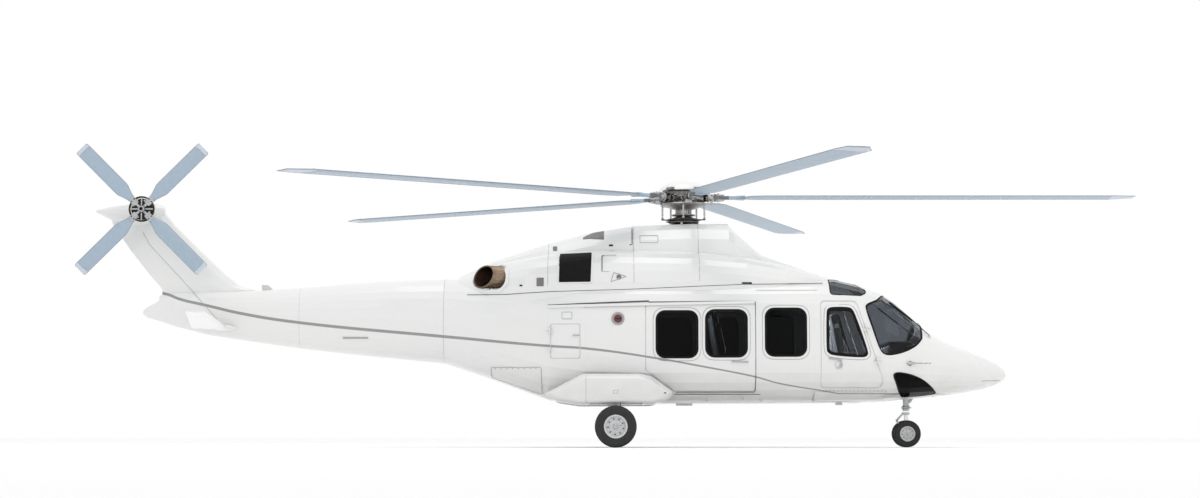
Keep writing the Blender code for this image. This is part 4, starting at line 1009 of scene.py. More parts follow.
def small_plates():
    """Access covers, vents and slots on the skin, each a curved plate with eased edges."""
    for name, low, high, radius, lift, depth, material in (
        # name, low corner, high corner, corner radius, proud, thickness, material
        ("step_panel", (2.965, 0.672), (3.990, 0.790), 0.012, 0.034, 0.040, PAINT),
        ("vent_square", (-1.075, 2.342), (-0.970, 2.468), 0.008, 0.003, 0.006, PALE_SCREEN),
        ("cowl_vent", (-0.846, 2.903), (-0.785, 2.969), 0.006, 0.003, 0.006, PALE_SCREEN),
        # The drain slot and the sponson drain below are near-black plates: painted shade in their openings
        ("drain_slot", (1.917, 2.376), (2.063, 2.398), 0.004, 0.004, 0.008, SHADE_AND_MARK_BLACK),
        ("boom_slot", (-3.945, 1.596), (-3.570, 1.622), 0.006, 0.004, 0.008, GREY_SEAL),
        ("cowl_mark", (-1.325, 2.345), (-1.285, 2.369), 0.006, 0.004, 0.006, SHADE_AND_MARK_BLACK),
        ("latch_mark", (-0.016, 2.960), (0.043, 2.985), 0.006, 0.004, 0.006, DARK_STEEL),
        ("sponson_drain", (0.762, 0.771), (0.794, 0.785), 0.004, 0.004, 0.006, SHADE_AND_MARK_BLACK),
        ("access_panel", (-0.690, 1.866), (-0.565, 1.950), 0.010, 0.003, 0.006, PAINT),
    ):
        skin(plate(f"{name}_right", low, high, radius, lift, depth, min(0.002, depth / 4)), material)


def grilles():
    """The mesh grille beside the mast, laid on the shoulder of the cowling between its four (x, y) corners."""
    corners = [Vector(corner) for corner in ((-0.400, -0.345), (-0.090, -0.405), (-0.090, -0.170), (-0.400, -0.285))]
    piece = unit_grid("mast_grille_right", 10, 10)
    for vertex in piece.data.vertices:
        share = vertex.co.x + 0.5
        at = corners[0].lerp(corners[1], share).lerp(corners[3].lerp(corners[2], share), vertex.co.y + 0.5)
        vertex.co = on_top(at.x, at.y) + Vector((0, 0, 0.003))
    piece.data.update()
    skin(thicken(piece, 0.006, 0.0015), PALE_SCREEN)


def sponsons():
    """The fairings of the main gear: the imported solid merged, with the rounded outer edges of a moulded skin."""
    piece = new_object("sponson_fairing_right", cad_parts["sponson_right"].data.copy())
    mode("EDIT")
    select_all()
    bpy.ops.mesh.remove_doubles(threshold=0.0001)
    bpy.ops.mesh.dissolve_limited(angle_limit=math.radians(1.0))

    def outer(edge):
        ends = [vertex.co for vertex in edge.verts]
        in_well = any(-0.32 < at.x < 0.47 and -1.52 < at.y < -1.18 for at in ends)
        on_hull = all(at.y > -1.15 for at in ends)
        return len(edge.link_faces) == 2 and edge.calc_face_angle() > 0.14 and not in_well and not on_hull

    pick(piece, "edges", outer)
    bpy.ops.mesh.bevel(offset=0.035, segments=4, clamp_overlap=True)
    mode("OBJECT")
    shade()
    both_sides(piece, "airframe", "airframe_paint", PAINT, "sponson_right")


def fuel_filler():
    """The filler: a white dished cover with a dark red cap and its lever, on the starboard side alone."""
    x, z = 0.111, 1.859
    lever = begin("fuel_cap_lever_right", "cube", size=1.0, location=proud(x, z, 0.019), scale=(0.070, 0.010, 0.014))
    pick_facing(lever, X)
    extrude((0.012, 0.004, 0.0))
    mode("OBJECT")
    for piece, material in (
        (disc("fuel_filler_ring_right", proud(x, z, 0.002), 0.095, 0.014), GREY_SEAL),
        (disc("fuel_cap_right", proud(x, z, 0.008), 0.058, 0.016, 0.2), CAP_ENAMEL),
        (soften(lever, 0.003), DARK_STEEL),
    ):
        put_on(piece, "airframe", "airframe_paint", material)


def handle_bar(name, start, end, width):
    """A flat pull handle on two feet, just off the skin between two (x, z) points."""
    first, last = on_side(*start), on_side(*end)
    middle = (first + last) / 2 + STARBOARD * 0.016
    length = (last - first).length
    piece = begin(name, "cube", size=1.0, location=middle, scale=(length, 0.010, width))
    for way in (-1, 1):
        pick(piece, "faces", lambda face: face.normal.x * way > 0.9)
        extrude((0.012 * way, 0.006, 0.0))
        pick(piece, "faces", lambda face: (
            face.normal.y > 0.5 and (face.calc_center_median().x - middle.x) * way > length / 2
        ))
        extrude((0.004 * way, 0.020, 0.0))
    mode("OBJECT")
    tilt = math.degrees(math.atan2(last.z - first.z, last.x - first.x))
    piece.data.transform(turned_about(middle, -tilt, "Y") @ Matrix.Translation(-middle))
    return soften(piece, 0.003)


def handles():
    """The flush handles of the doors: a dished round pocket with a lever on the crew door, a bar on the cabin door."""
    pocket = disc("crew_handle_pocket_right", proud(3.300, 1.190, 0.001), 0.060, 0.012, 0.7)
    skin(pocket, WINDOW_TRIM, "crew_door_right")
    for name, start, end, width, body in (
        ("crew_handle", (3.165, 1.285), (3.330, 1.262), 0.024, "crew_door_right"),
        ("crew_handle_grip", (3.330, 1.262), (3.330, 1.175), 0.022, "crew_door_right"),
        ("cabin_handle", (1.765, 1.238), (1.980, 1.232), 0.022, "airframe"),
        ("baggage_latch", (-0.53, 1.62), (-0.46, 1.62), 0.018, "baggage_door_right"),
    ):
        skin(handle_bar(f"{name}_right", start, end, width), HANDLE_GREY, body)


def skin_rivets():
    """Two rows of domed rivets, above the step panel and along the top of the rear hatch."""
    at = [on_side(3.13 + 0.88 * k / 15, 0.816) for k in range(16)]
    at += [on_side(-1.68 + 0.60 * k / 7, 1.145) for k in range(8)]
    made = []
    for k, point in enumerate(at):
        dome = begin(f"rivet_{k}", "uv_sphere", segments=10, ring_count=6, radius=0.008, location=point)
        bpy.ops.transform.resize(value=(1.0, 0.45, 1.0), center_override=point)
        mode("OBJECT")
        made.append(dome)
    piece = join_all("skin_rivets_right", made)
    bpy.ops.object.shade_smooth()
    skin(piece, GREY_SEAL)


# The main rotor head and its blades

def five_times(piece, material, slot="gear_steel"):
    """Copies a part drawn at the origin, its arm along +X, to every arm of the head, and removes the first one."""
    for k in range(BLADES):
        arm = turned_about(MAST, 360 * k / BLADES)
        put_on(copy_of(piece, f"{piece.name}_{k + 1}", arm), "main_rotor", slot, material)
    remove([piece])


def on_head(piece, material, *replaced):
    """A piece of the head that is there once."""
    put_on(piece, "main_rotor", "gear_steel", material, *replaced)


def rotor_head():
    """The hub body, its neck and control ring, turned as on the real head, with ribs and bolt circles."""
    on_head(turned("rotor_hub_body", [
        (83, -615), (83, -300), (100, -280), (176, -270), (180, -262), (176, -254), (104, -246), (98, -215),
        (104, -185), (170, -168), (330, -120), (352, -104), (345, -92), (250, -78), (158, -72), (150, -30), (158, 0),
        (150, 45), (108, 52), (108, 98),
    ], MAST, Z, 60), HEAD_STEEL, "rotor_hub")
    on_head(turned("control_ring", [
        (150, -345), (252, -343), (262, -335), (252, -326), (205, -315), (160, -305), (128, -290), (118, -288),
    ], MAST, Z, 60), CONTROL_STEEL)
    on_head(turned("neck_collar", [(104, -236), (110, -232), (110, -212), (104, -208)], MAST, Z, 60), BRIGHT_STEEL)
    ribs = []
    for k in range(20):
        ribs.append(block(f"rib_{k}", (0.096, -0.006, -0.240), (0.122, 0.006, -0.185), 0.002, (Z, 0.02, 0.8)))
        ribs[-1].data.transform(turned_about(MAST, 18 * k + 9))
    on_head(join_all("neck_ribs", ribs), HEAD_STEEL)
    on_head(bolt_ring("hub_rim_bolts", MAST + Vector((0, 0, -0.097)), Z, 0.300, 20, 9, 14), BRIGHT_STEEL)


def hub_arms():
    """The five arms: a tapered tube, a rubber bearing between two rings, and the bolted end that grips a blade."""
    five_times(turned("hub_arm", [
        (30, 60), (34, 110), (50, 210), (54, 262), (64, 267), (67, 274), (64, 281), (50, 285), (50, 352), (62, 356),
        (67, 364), (67, 378), (56, 386), (54, 430), (46, 458.5),
    ], (0, 0, 0), X, 40), HEAD_STEEL)
    five_times(spun("arm_bearing", [
        (52, 287), (57, 288), (60, 296), (56, 304), (60, 312), (56, 320), (60, 328), (56, 336), (60, 344), (57, 351),
        (52, 352),
    ], (0, 0, 0), X, 40, 40), BLACK_RUBBER)
    five_times(bolt_ring("arm_bolts", (0.376, 0, 0), X, 0.061, 10, 5, 10), BRIGHT_STEEL)
    for name, low, high in (("upper", 0.026, 0.050), ("lower", -0.050, -0.026)):
        five_times(block(
            f"grip_lug_{name}", (0.425, -0.060, low), (0.560, 0.060, high), 0.006, (X, 0.050, 0.62),
            ((-1, 0, 0), 0.020, 0.8),
        ), HEAD_STEEL)
    five_times(join_all("blade_pins", [
        turned("pin", [(16, -60), (16, -53), (11, -52), (11, 52), (18, 53), (18, 60), (12, 64)], (0.520, y, 0), Z, 16)
        for y in (-0.030, 0.030)
    ]), BRIGHT_STEEL)


def hub_dampers():
    """The lag dampers: two tapered cylinders with rubber boots in each gap of the hub, one to either arm."""
    gap = Matrix.Rotation(math.radians(180 / BLADES), 3, "Z")
    start = gap @ Vector((0.165, 0, -0.020))
    for way, name in ((1, "leading"), (-1, "trailing")):
        end = Matrix.Rotation(math.radians(36 - 36 * way), 3, "Z") @ Vector((0.345, 0.098 * way, -0.020))
        axis = end - start
        far = axis.length * 1000
        five_times(turned(f"{name}_damper", [
            (14, 0), (20, 6), (24, far * 0.20), (36, far * 0.60), (40, far * 0.68), (40, far * 0.74), (24, far * 0.77),
            (24, far * 0.92), (30, far * 0.94), (30, far),
        ], start, axis), HEAD_STEEL)
        five_times(spun(f"{name}_damper_boot", [
            (26, far * 0.77), (36, far * 0.79), (31, far * 0.815), (36, far * 0.84), (31, far * 0.865),
            (36, far * 0.89), (26, far * 0.91),
        ], start, axis, 24, 60), BLACK_RUBBER)
        low, high = sorted((0.050 * way, 0.116 * way))
        five_times(block(
            f"{name}_damper_ear", (0.322, low, -0.036), (0.368, high, -0.004), 0.005, ((0, way, 0), 0.012, 0.7)
        ), CONTROL_STEEL)
    five_times(turned(
        "damper_star", [(20, 0), (34, 4), (34, 30), (20, 36), (9, 38)], gap @ Vector((0.150, 0, -0.020)),
        gap @ Vector(X), 12,
    ), CONTROL_STEEL)


def pitch_links():
    """The pitch links: slim rods with screwed ends between the control ring and the horn of each blade."""
    five_times(turned("pitch_link", [
        (12, 0), (18, 6), (18, 24), (9, 30), (9, 48), (14, 50), (14, 190), (9, 192), (9, 208), (18, 214), (18, 234),
        (12, 240),
    ], (0.309, -0.115, -0.330), Z, 16), BRIGHT_STEEL)
    for name, low, high, soft, steps, material in (
        ("pitch_horn", (0.285, -0.132, -0.112), (0.335, -0.096, -0.084), 0.005,
         ((X, 0.045, 0.9), (X, 0.045, 1.3)), HEAD_STEEL),
        ("horn_web", (0.400, -0.124, -0.110), (0.436, -0.050, -0.060), 0.005, ((Y, 0.03, 0.8),), HEAD_STEEL),
        ("ring_lug", (0.235, -0.131, -0.346), (0.300, -0.099, -0.330), 0.004, ((X, 0.024, 0.8),), DARK_STEEL),
    ):
        five_times(block(name, low, high, soft, *steps), material)


def control_plate():
    """The fixed swash ring with its sleeve, servo rods and the scissor lever behind it."""
    put_on(spun("fixed_control_ring", [
        (96, 3340), (222, 3338), (228, 3344), (228, 3358), (222, 3363), (96, 3363),
    ], MAST_FOOT, Z, 60), "airframe", "gear_steel", CONTROL_STEEL, "swashplate")
    put_on(spun("control_sleeve", [
        (93, 3102), (150, 3102), (150, 3120), (128, 3126), (128, 3330), (136, 3338), (93, 3338),
    ], MAST_FOOT), "airframe", "gear_steel", DARK_STEEL)
    profile = [(14, 0), (14, 200), (20, 205), (20, 235), (12, 245)]
    for k in range(3):
        rod = turned(f"servo_rod_{k + 1}", profile, (0.190, 0, 3.105), Z, 16)
        rod.data.transform(turned_about(MAST_FOOT, 20 + 120 * k))
        put_on(rod, "airframe", "gear_steel", BRIGHT_STEEL)
    lever = block("scissor_lever", (0.205, -0.018, 3.342), (0.262, 0.018, 3.358), 0.003, (X, 0.02, 0.7))
    lever.data.transform(turned_about(MAST_FOOT, 200))
    put_on(lever, "airframe", "gear_steel", ALLOY)


def hub_dome():
    """The moulded dome over the head, with a notch over each arm and a rolled rim."""
    base = MAST.z + 0.0923
    piece = begin("hub_dome", "circle", vertices=120, radius=0.368, location=(MAST.x, 0.0, base))
    rows = [(0.368, 0.0), (0.370, 0.010), (0.362, 0.028), (0.350, 0.046), (0.335, 0.068), (0.300, 0.096),
            (0.255, 0.121), (0.205, 0.142), (0.150, 0.157), (0.090, 0.167), (0.040, 0.1705)]
    bpy.ops.mesh.select_mode(type="EDGE")
    select_all()
    for (radius, height), (next_radius, next_height) in zip(rows, rows[1:]):
        share = next_radius / radius
        extrude((0, 0, next_height - height), (share, share, 1.0), (MAST.x, 0.0, base + next_height))
    bpy.ops.mesh.edge_face_add()

    def in_notch(face):
        centre = face.calc_center_median()
        angle = (math.degrees(math.atan2(centre.y, centre.x - MAST.x)) - 18.0) % 72.0
        rise = centre.z - base
        return rise < 0.040 and min(angle, 72.0 - angle) < 15.0 - 120.0 * rise

    pick(piece, "faces", in_notch)
    bpy.ops.mesh.delete(type="FACE")
    select_all()
    bpy.ops.mesh.normals_make_consistent(inside=False)
    mode("OBJECT")
    first = piece.data.polygons[0]
    if first.normal.dot(first.center - Vector((MAST.x, 0, base))) < 0:
        piece.data.flip_normals()
    put_on(thicken(piece, 0.010, 0.002), "main_rotor", "composite_paint", PAINT, "hub_cap")
    seat = [(240, 0), (240, 12), (120, 16), (110, 60), (60, 100)]
    on_head(turned("dome_seat", seat, (MAST.x, 0, base + 0.006), Z, 48), DARK_STEEL)


# Distance from the mast, leading edge, trailing edge
BLADE_EDGE = ((0.880, 0.095, -0.105), (1.020, 0.160, -0.280), (1.220, 0.170, -0.330), (3.000, 0.170, -0.330),
              (4.700, 0.170, -0.330), (6.400, 0.170, -0.330), (6.700, 0.010, -0.290))


def blade_edges():
    """Along each main blade: the nickel strip on its nose, the tab on its trailing edge, and the joint of the cap."""
    for name, points, radius in (
        ("blade_nose_strip", [(x, lead - 0.001, 0.0) for x, lead, trail in BLADE_EDGE], 0.0065),
        ("blade_trailing_strip", [(x, trail + 0.001, 0.0) for x, lead, trail in BLADE_EDGE], 0.0050),
        ("blade_tip_strip", [(6.700, 0.008, 0.0), (6.700, -0.289, 0.0)], 0.0060),
    ):
        five_times(tube(name, points, radius), ABRASION, "blade_paint")
    made = []
    for way in (1, -1):
        over = ((0.165, 0.001), (0.110, 0.0172 * way), (0.010, 0.0202 * way), (-0.155, 0.0128 * way), (-0.328, 0.001))
        made.append(tube(f"cap_joint_{way}", [(CAP_AT + 0.002, y, z) for y, z in over], 0.0022, 6))
    five_times(join_all("blade_cap_joint", made), ABRASION, "blade_paint")
    cuff = block(
        "blade_root_cuff", (0.600, -0.062, -0.024), (0.770, 0.062, 0.024), 0.006, (X, 0.09, 1.25), (X, 0.06, 1.0)
    )
    five_times(cuff, BLADE, "blade_paint")


# The tail rotor

# Distance from the hub, chord, half thickness
TAIL_BLADE_ROWS = (
    (0.165, 0.090, 0.016), (0.200, 0.094, 0.016), (0.260, 0.112, 0.015), (0.330, 0.160, 0.014), (0.400, 0.208, 0.013),
    (0.450, 0.215, 0.013), (0.900, 0.215, 0.0115), (1.215, 0.215, 0.010), (1.255, 0.213, 0.009), (1.268, 0.196, 0.008),
    (1.277, 0.160, 0.006),
)
LYING = Matrix.Rotation(math.radians(90), 4, "X")


def foil(half_points=12):
    """A symmetric aerofoil's outline: share of the chord from the nose, share of the half thickness."""
    upper = []
    for k in range(half_points + 1):
        share = (1 - math.cos(math.pi * k / half_points)) / 2
        height = 2.96 * math.sqrt(share) - 1.26 * share - 3.52 * share ** 2 + 2.84 * share ** 3 - 1.02 * share ** 4
        upper.append((share, max(height, 0.03)))
    return upper + [(share, -height) for share, height in reversed(upper)]


def on_tail(piece, material, *replaced):
    """A piece of the tail rotor that is there once."""
    put_on(piece, "tail_rotor", "gear_steel", material, *replaced)


def tail_blades():
    """The four blades of the tail rotor, drawn at the origin along +X, with their strips, grips and bolts."""
    outline = foil()
    rings = [[(x, chord / 2 - chord * s, half * h) for s, h in outline] for x, chord, half in TAIL_BLADE_ROWS]
    over = ((0.1065, 0.0), (0.075, 0.0085), (0.020, 0.0102), (-0.050, 0.0065), (-0.106, 0.001))
    parts = (
        (loft("tail_blade", rings), "blade_paint", TAIL_BLADE),
        (tube("tail_blade_nose", [(x, chord / 2, 0) for x, chord, half in TAIL_BLADE_ROWS[1:]], 0.0035, 6),
         "blade_paint", ABRASION),
        (tube("tail_blade_rear", [(x, 0.001 - chord / 2, 0) for x, chord, half in TAIL_BLADE_ROWS[1:]], 0.0030, 6),
         "blade_paint", ABRASION),
        (join_all("tail_cap_joint", [
            tube(f"joint_{way}", [(TAIL_CAP_AT, y, z * way) for y, z in over], 0.0018, 6) for way in (1, -1)
        ]), "blade_paint", ABRASION),
        (block("tail_grip", (0.120, -0.050, -0.024), (0.205, 0.050, 0.024), 0.006, (X, 0.02, 0.85),
               ((-1, 0, 0), 0.02, 0.8)), "gear_steel", BRIGHT_STEEL),
        (join_all("tail_grip_bolts", [
            turned("bolt", [(11, 22), (11, 30), (8, 34)], (0.180, y, 0), Z, 6) for y in (-0.028, 0.028)
        ]), "gear_steel", DARK_STEEL),
    )
    for k in range(4):
        turn = turned_about(TAIL_HUB + STARBOARD * 0.02, -45 - 90 * k, "Y") @ LYING
        for piece, slot, material in parts:
            put_on(copy_of(piece, f"{piece.name}_{k + 1}", turn), "tail_rotor", slot, material)
    remove(piece for piece, slot, material in parts)


def tail_rotor():
    """Four blades on a spoked hub with light grips, as new pieces that stand for the plain solid."""
    tail_blades()
    inner = TAIL_HUB + Vector((0, 0.0747, 0))
    on_tail(turned("tail_hub_drum", [
        (54, 0), (54, 36), (110, 40), (150, 48), (158, 60), (158, 70), (150, 78), (60, 82), (56, 110),
    ], inner, STARBOARD, 60), DARK_STEEL, "tail_rotor")
    on_tail(spun("tail_hub_rim", [
        (166, 72), (184, 72), (190, 78), (190, 112), (184, 118), (170, 118), (166, 114),
    ], inner, STARBOARD, 60), DARK_STEEL)
    on_tail(turned("tail_hub_boss", [
        (58, 80), (58, 112), (52, 122), (52, 140), (44, 152), (30, 156), (27, 156), (27, 120),
    ], inner, STARBOARD, 40), BRIGHT_STEEL)
    # The floor of the bore is near-black: painted shade deep in the bore
    on_tail(turned("tail_hub_bore", [(26, 121), (26, 125), (14, 125), (14, 134)], inner, STARBOARD, 24, 35), SHADE_AND_MARK_BLACK)
    spokes, links = [], []
    for k in range(8):
        wide = 0.018 if k % 2 else 0.010
        spokes.append(block(f"spoke_{k}", (0.048, -wide, -0.008), (0.150, wide, 0.008), 0.003, (X, 0.020, 1.15)))
        spokes[-1].data.transform(turned_about(inner + STARBOARD * 0.106, -45 * k, "Y") @ LYING)
    on_tail(join_all("tail_hub_spokes", spokes), BRIGHT_STEEL)
    for k in range(4):
        at = Matrix.Rotation(-math.radians(69 + 90 * k), 3, "Y") @ Vector((0.130, 0, 0))
        links.append(turned(f"tail_link_{k}", [
            (10, 30), (14, 36), (14, 50), (8, 56), (8, 112), (14, 116), (14, 132), (9, 138),
        ], inner + at, STARBOARD, 12))
    on_tail(join_all("tail_pitch_links", links), BRIGHT_STEEL)
    on_tail(bolt_ring("tail_boss_bolts", inner + STARBOARD * 0.112, STARBOARD, 0.047, 8, 4, 10), DARK_STEEL)
    put_on(turned("tail_shaft_gaiter", [
        (75, -200), (90, -195), (80, -170), (90, -150), (78, -125), (86, -105), (72, -80), (66, -30), (62, -4),
    ], inner, STARBOARD, 40, 50), "airframe", "gear_steel", DARK_STEEL)


# The landing gear

# Shares of a wheel's radius, and of half its width
TYRE_SIDE = ((0.50, -0.60), (0.56, -0.80), (0.66, -0.94), (0.80, -1.00), (0.90, -0.95), (0.955, -0.80), (0.980, -0.62))
RIM = ((0.500, -0.56), (0.545, -0.70), (0.560, -0.80), (0.545, -0.84), (0.500, -0.78), (0.470, -0.50), (0.440, -0.10),
       (0.440, 0.40), (0.475, 0.60), (0.500, 0.80), (0.545, 0.86), (0.562, 0.82), (0.548, 0.72), (0.500, 0.56))
WEB = ((0.445, 0.30), (0.400, 0.34), (0.330, 0.30), (0.270, 0.44), (0.200, 0.50), (0.165, 0.66), (0.110, 0.66),
       (0.110, 0.10), (0.445, 0.10))
HUB_CAP = ((0.125, 0.60), (0.135, 0.70), (0.130, 0.82), (0.100, 0.90), (0.045, 0.93))


def tyre_outline():
    """A tyre's closed section as shares, with its bead, shoulders and four tread grooves."""
    tread = []
    for middle in (-0.45, -0.15, 0.15, 0.45):
        tread += [(0.988, middle - 0.045), (0.962, middle - 0.030), (0.962, middle + 0.030), (0.988, middle + 0.045)]
        if middle in (-0.45, 0.15):
            tread.append((0.9975, middle + 0.15))
    return [*TYRE_SIDE, *tread, *((share, -side) for share, side in reversed(TYRE_SIDE))]


def wheel(name, centre, radius, half, body):
    """A starboard wheel and its port copy, sizes in mm: tyre, forged rim, dished web, tie bolts, cap and valve."""
    def section(shares):
        return [(radius * share, half * side) for share, side in shares]

    tyre = spun(f"{name}_tyre_right", section(tyre_outline()), centre, STARBOARD, 72)
    both_sides(tyre, body, "tyre", TYRE, body)
    bolts_at = centre + STARBOARD * (half * 0.34 / 1000)
    valve_at = centre + Vector((radius * 0.235, 0, radius * 0.05)) / 1000
    for piece, material in (
        (spun(f"{name}_rim_right", section(RIM), centre, STARBOARD, 60), GEAR_ENAMEL),
        (spun(f"{name}_web_right", section(WEB), centre, STARBOARD, 60), GEAR_ENAMEL),
        (turned(f"{name}_hub_cap_right", section(HUB_CAP), centre, STARBOARD, 36), BRIGHT_STEEL),
        (bolt_ring(f"{name}_tie_bolts_right", bolts_at, STARBOARD, radius * 0.37 / 1000, 9, radius * 0.026,
                   half * 0.14), DARK_STEEL),
        (turned(f"{name}_valve_right", [(4, half * 0.44), (4, half * 0.62), (5.5, half * 0.63), (5.5, half * 0.76)],
                valve_at, STARBOARD, 12), BLACK_RUBBER),
    ):
        both_sides(piece, body, "gear_steel", material)


def wheels():
    """The main wheels, and the twin nose wheels on their axle."""
    wheel("main", MAIN_WHEEL, 300, 100, "main_wheel_right")
    wheel("nose", NOSE_WHEEL + STARBOARD * 0.13, 200, 60, "nose_wheels")
    axle = turned("nose_axle", [(12, -150), (16, -146), (16, 146), (12, 150)], NOSE_WHEEL, Y)
    put_on(axle, "nose_wheels", "gear_steel", BRIGHT_STEEL)


def link_arm(name, start, end, width, across):
    """One arm of a torque link: a tapered web with a round eye at each end, flat in the x-z plane."""
    start, end = Vector(start), Vector(end)
    span = end - start
    web = block(
        f"{name}_web", (0.0, -across / 2, -width / 2), (span.length, across / 2, width / 2), width * 0.12,
        (X, 0.006, 0.8), ((-1, 0, 0), 0.006, 0.8),
    )
    web.data.transform(turned_about(start, -math.degrees(math.atan2(span.z, span.x)), "Y"))
    eye = [(width * r * 1000, across * d * 1000) for r, d in ((0.45, -0.75), (0.62, -0.70), (0.62, 0.70), (0.45, 0.75))]
    return join_all(name, [web] + [turned(f"{name}_eye_{k}", eye, at, Y, 20) for k, at in enumerate((start, end))])


def brace(name, start, end, rows):
    """A drag brace with a knuckle at its foot: a plain (radius, distance) foot, then (radius, share) points."""
    axis = Vector(end) - Vector(start)
    far = axis.length * 1000
    profile = rows[:4] + [(radius, far * share) for radius, share in rows[4:]]
    return turned(name, profile, start, axis, 28)


def main_gear():
    """The main legs: oleo cylinders with chromed rods, torque links, drag braces, axles, brakes and pipes."""
    y = MAIN_LEG_Y
    top = Vector((MAIN_WHEEL.x, y, 0.93))
    cylinder = turned("main_gear_cylinder_right", [
        (40, 0), (55, 6), (55, 30), (48, 36), (48, 180), (54, 186), (54, 206), (48, 212), (48, 300), (56, 306),
        (56, 330), (50, 336), (50, 348), (42, 352),
    ], top, DOWN, 40)
    both_sides(cylinder, "airframe", "gear_steel", GEAR_ENAMEL, "main_gear_leg_right")
    pipe_route = [
        (0.128, y + 0.010, 0.900), (0.136, y + 0.012, 0.80), (0.134, y + 0.012, 0.68), (0.150, y + 0.010, 0.56),
        (0.150, y + 0.004, 0.46), (0.135, y - 0.004, 0.38), (0.120, y - 0.020, 0.33),
    ]
    for piece, material in (
        (turned("main_gear_rod_right", [(35, 350), (35, 560)], top, DOWN, 40), CHROME),
        (turned("main_gear_foot_right", [
            (38, 515), (50, 522), (54, 545), (54, 600), (50, 655), (40, 672), (20, 680),
        ], top, DOWN, 40), GEAR_ENAMEL),
        (turned("main_gear_axle_right", [
            (24, -35), (34, -30), (34, 45), (46, 48), (46, 60), (30, 64), (30, 130),
        ], (MAIN_WHEEL.x, y, MAIN_WHEEL.z), STARBOARD, 32), BRIGHT_STEEL),
        (link_arm("torque_link_upper_right", (0.015, y, 0.600), (-0.085, y, 0.470), 0.034, 0.030), GEAR_ENAMEL),
        (link_arm("torque_link_lower_right", (-0.085, y, 0.462), (0.015, y, 0.345), 0.034, 0.024), GEAR_ENAMEL),
        (brace("drag_brace_right", (0.020, y, 0.640), (-0.270, y, 0.880), [
            (16, 0), (26, 10), (26, 50), (18, 60), (18, 0.48), (23, 0.50), (23, 0.86), (28, 0.88), (28, 0.97), (18, 1),
        ]), GEAR_ENAMEL),
        (tube("brake_pipe_right", along(pipe_route, 0.02), 0.005), BLACK_RUBBER),
        (block("brake_caliper_right", (0.118, y - 0.072, 0.268), (0.182, y - 0.050, 0.352), 0.006, (Y, 0.030, 0.85)),
         ALLOY),
        (block("brake_lug_right", (0.060, y - 0.050, 0.270), (0.128, y - 0.034, 0.340), 0.004, (X, 0.010, 0.9)), ALLOY),
    ):
        both_sides(piece, "airframe", "gear_steel", material)
    brake = [(50, -84), (118, -84), (120, -81), (120, -72), (118, -69), (50, -69)]
    both_sides(spun("brake_disc_right", brake, MAIN_WHEEL, STARBOARD), "main_wheel_right", "gear_steel", DARK_STEEL)


def nose_gear():
    """The nose leg: its cylinder, steering collar and brace, and the fork with its rod, links and axle."""
    top = Vector((NOSE_WHEEL.x, 0.0, 1.04))
    steering = [(14, 0), (20, 6), (20, 90), (14, 96), (8, 98), (8, 130)]
    for piece, material, body, *replaced in (
        (turned("nose_gear_cylinder", [
            (42, 0), (55, 6), (55, 40), (46, 48), (46, 230), (54, 236), (54, 262), (46, 268), (46, 420), (60, 426),
            (60, 470), (52, 476), (52, 500), (42, 504),
        ], top, DOWN, 40), GEAR_ENAMEL, "airframe", "nose_gear_leg"),
        (brace("nose_drag_brace", (4.440, 0, 0.660), (4.740, 0, 1.000), [
            (15, 0), (24, 10), (24, 50), (16, 58), (16, 0.50), (21, 0.52), (21, 0.88), (26, 0.90), (26, 0.98), (16, 1),
        ]), GEAR_ENAMEL, "airframe"),
        (join_all("steering_actuators", [
            turned("steering", steering, (4.340, 0.062 * side, 0.585), X, 20) for side in (-1, 1)
        ]), BRIGHT_STEEL, "airframe"),
        (disc("taxi_lamp", (4.472, 0, 0.800), 0.048, 0.030, 0.1, "X"), CLEAR_LAMP, "airframe"),
        (turned("taxi_lamp_bowl", [(20, 0), (34, 10), (52, 34), (52, 44)], (4.428, 0, 0.800), X, 32), DARK_STEEL,
         "airframe"),
        (turned("nose_fork_rod", [
            (33, 525), (33, 720), (40, 726), (46, 740), (46, 790), (40, 850), (46, 870),
        ], top, DOWN, 40), CHROME, "nose_fork", "nose_gear_fork"),
        (turned("nose_fork_collar", [(42, 522), (56, 526), (56, 556), (42, 560)], top, DOWN, 40), GEAR_ENAMEL,
         "nose_fork"),
        (spun("nose_axle_housing", [
            (17.5, -55), (40, -55), (45, -50), (45, 50), (40, 55), (17.5, 55),
        ], NOSE_WHEEL, Y, 36), GEAR_ENAMEL, "nose_fork"),
        (block("nose_fork_foot", (4.362, -0.034, 0.215), (4.438, 0.034, 0.300), 0.008, (Z, 0.040, 0.8)), GEAR_ENAMEL,
         "nose_fork"),
        (link_arm("nose_link_upper", (4.352, 0, 0.500), (4.262, 0, 0.400), 0.028, 0.024), GEAR_ENAMEL, "nose_fork"),
        (link_arm("nose_link_lower", (4.262, 0, 0.392), (4.352, 0, 0.262), 0.028, 0.024), GEAR_ENAMEL, "nose_fork"),
    ):
        put_on(piece, body, "gear_steel", material, *replaced)


# The engine bays

PIPE_ROOT, PIPE_TIP = Vector((-1.36, -0.420, 2.5)), Vector((-2.12, -0.677, 2.5))
PIPE_WAY = (PIPE_TIP - PIPE_ROOT).normalized()
PIPE_OUT = PIPE_WAY.cross(Vector(Z)).normalized()
MOUTH_NORMAL = Vector((-1.0, -1.18, 0.364)).normalized()


def mouth(radius):
    """Points round the exhaust pipe at this radius, in the slanted plane of its mouth."""
    points = []
    for k in range(48):
        angle = FULL_TURN * k / 48
        point = PIPE_ROOT + (PIPE_OUT * math.cos(angle) + PIPE_OUT.cross(PIPE_WAY) * math.sin(angle)) * radius
        points.append(point + PIPE_WAY * ((EXHAUST_MOUTH - point).dot(MOUTH_NORMAL) / PIPE_WAY.dot(MOUTH_NORMAL)))
    return points


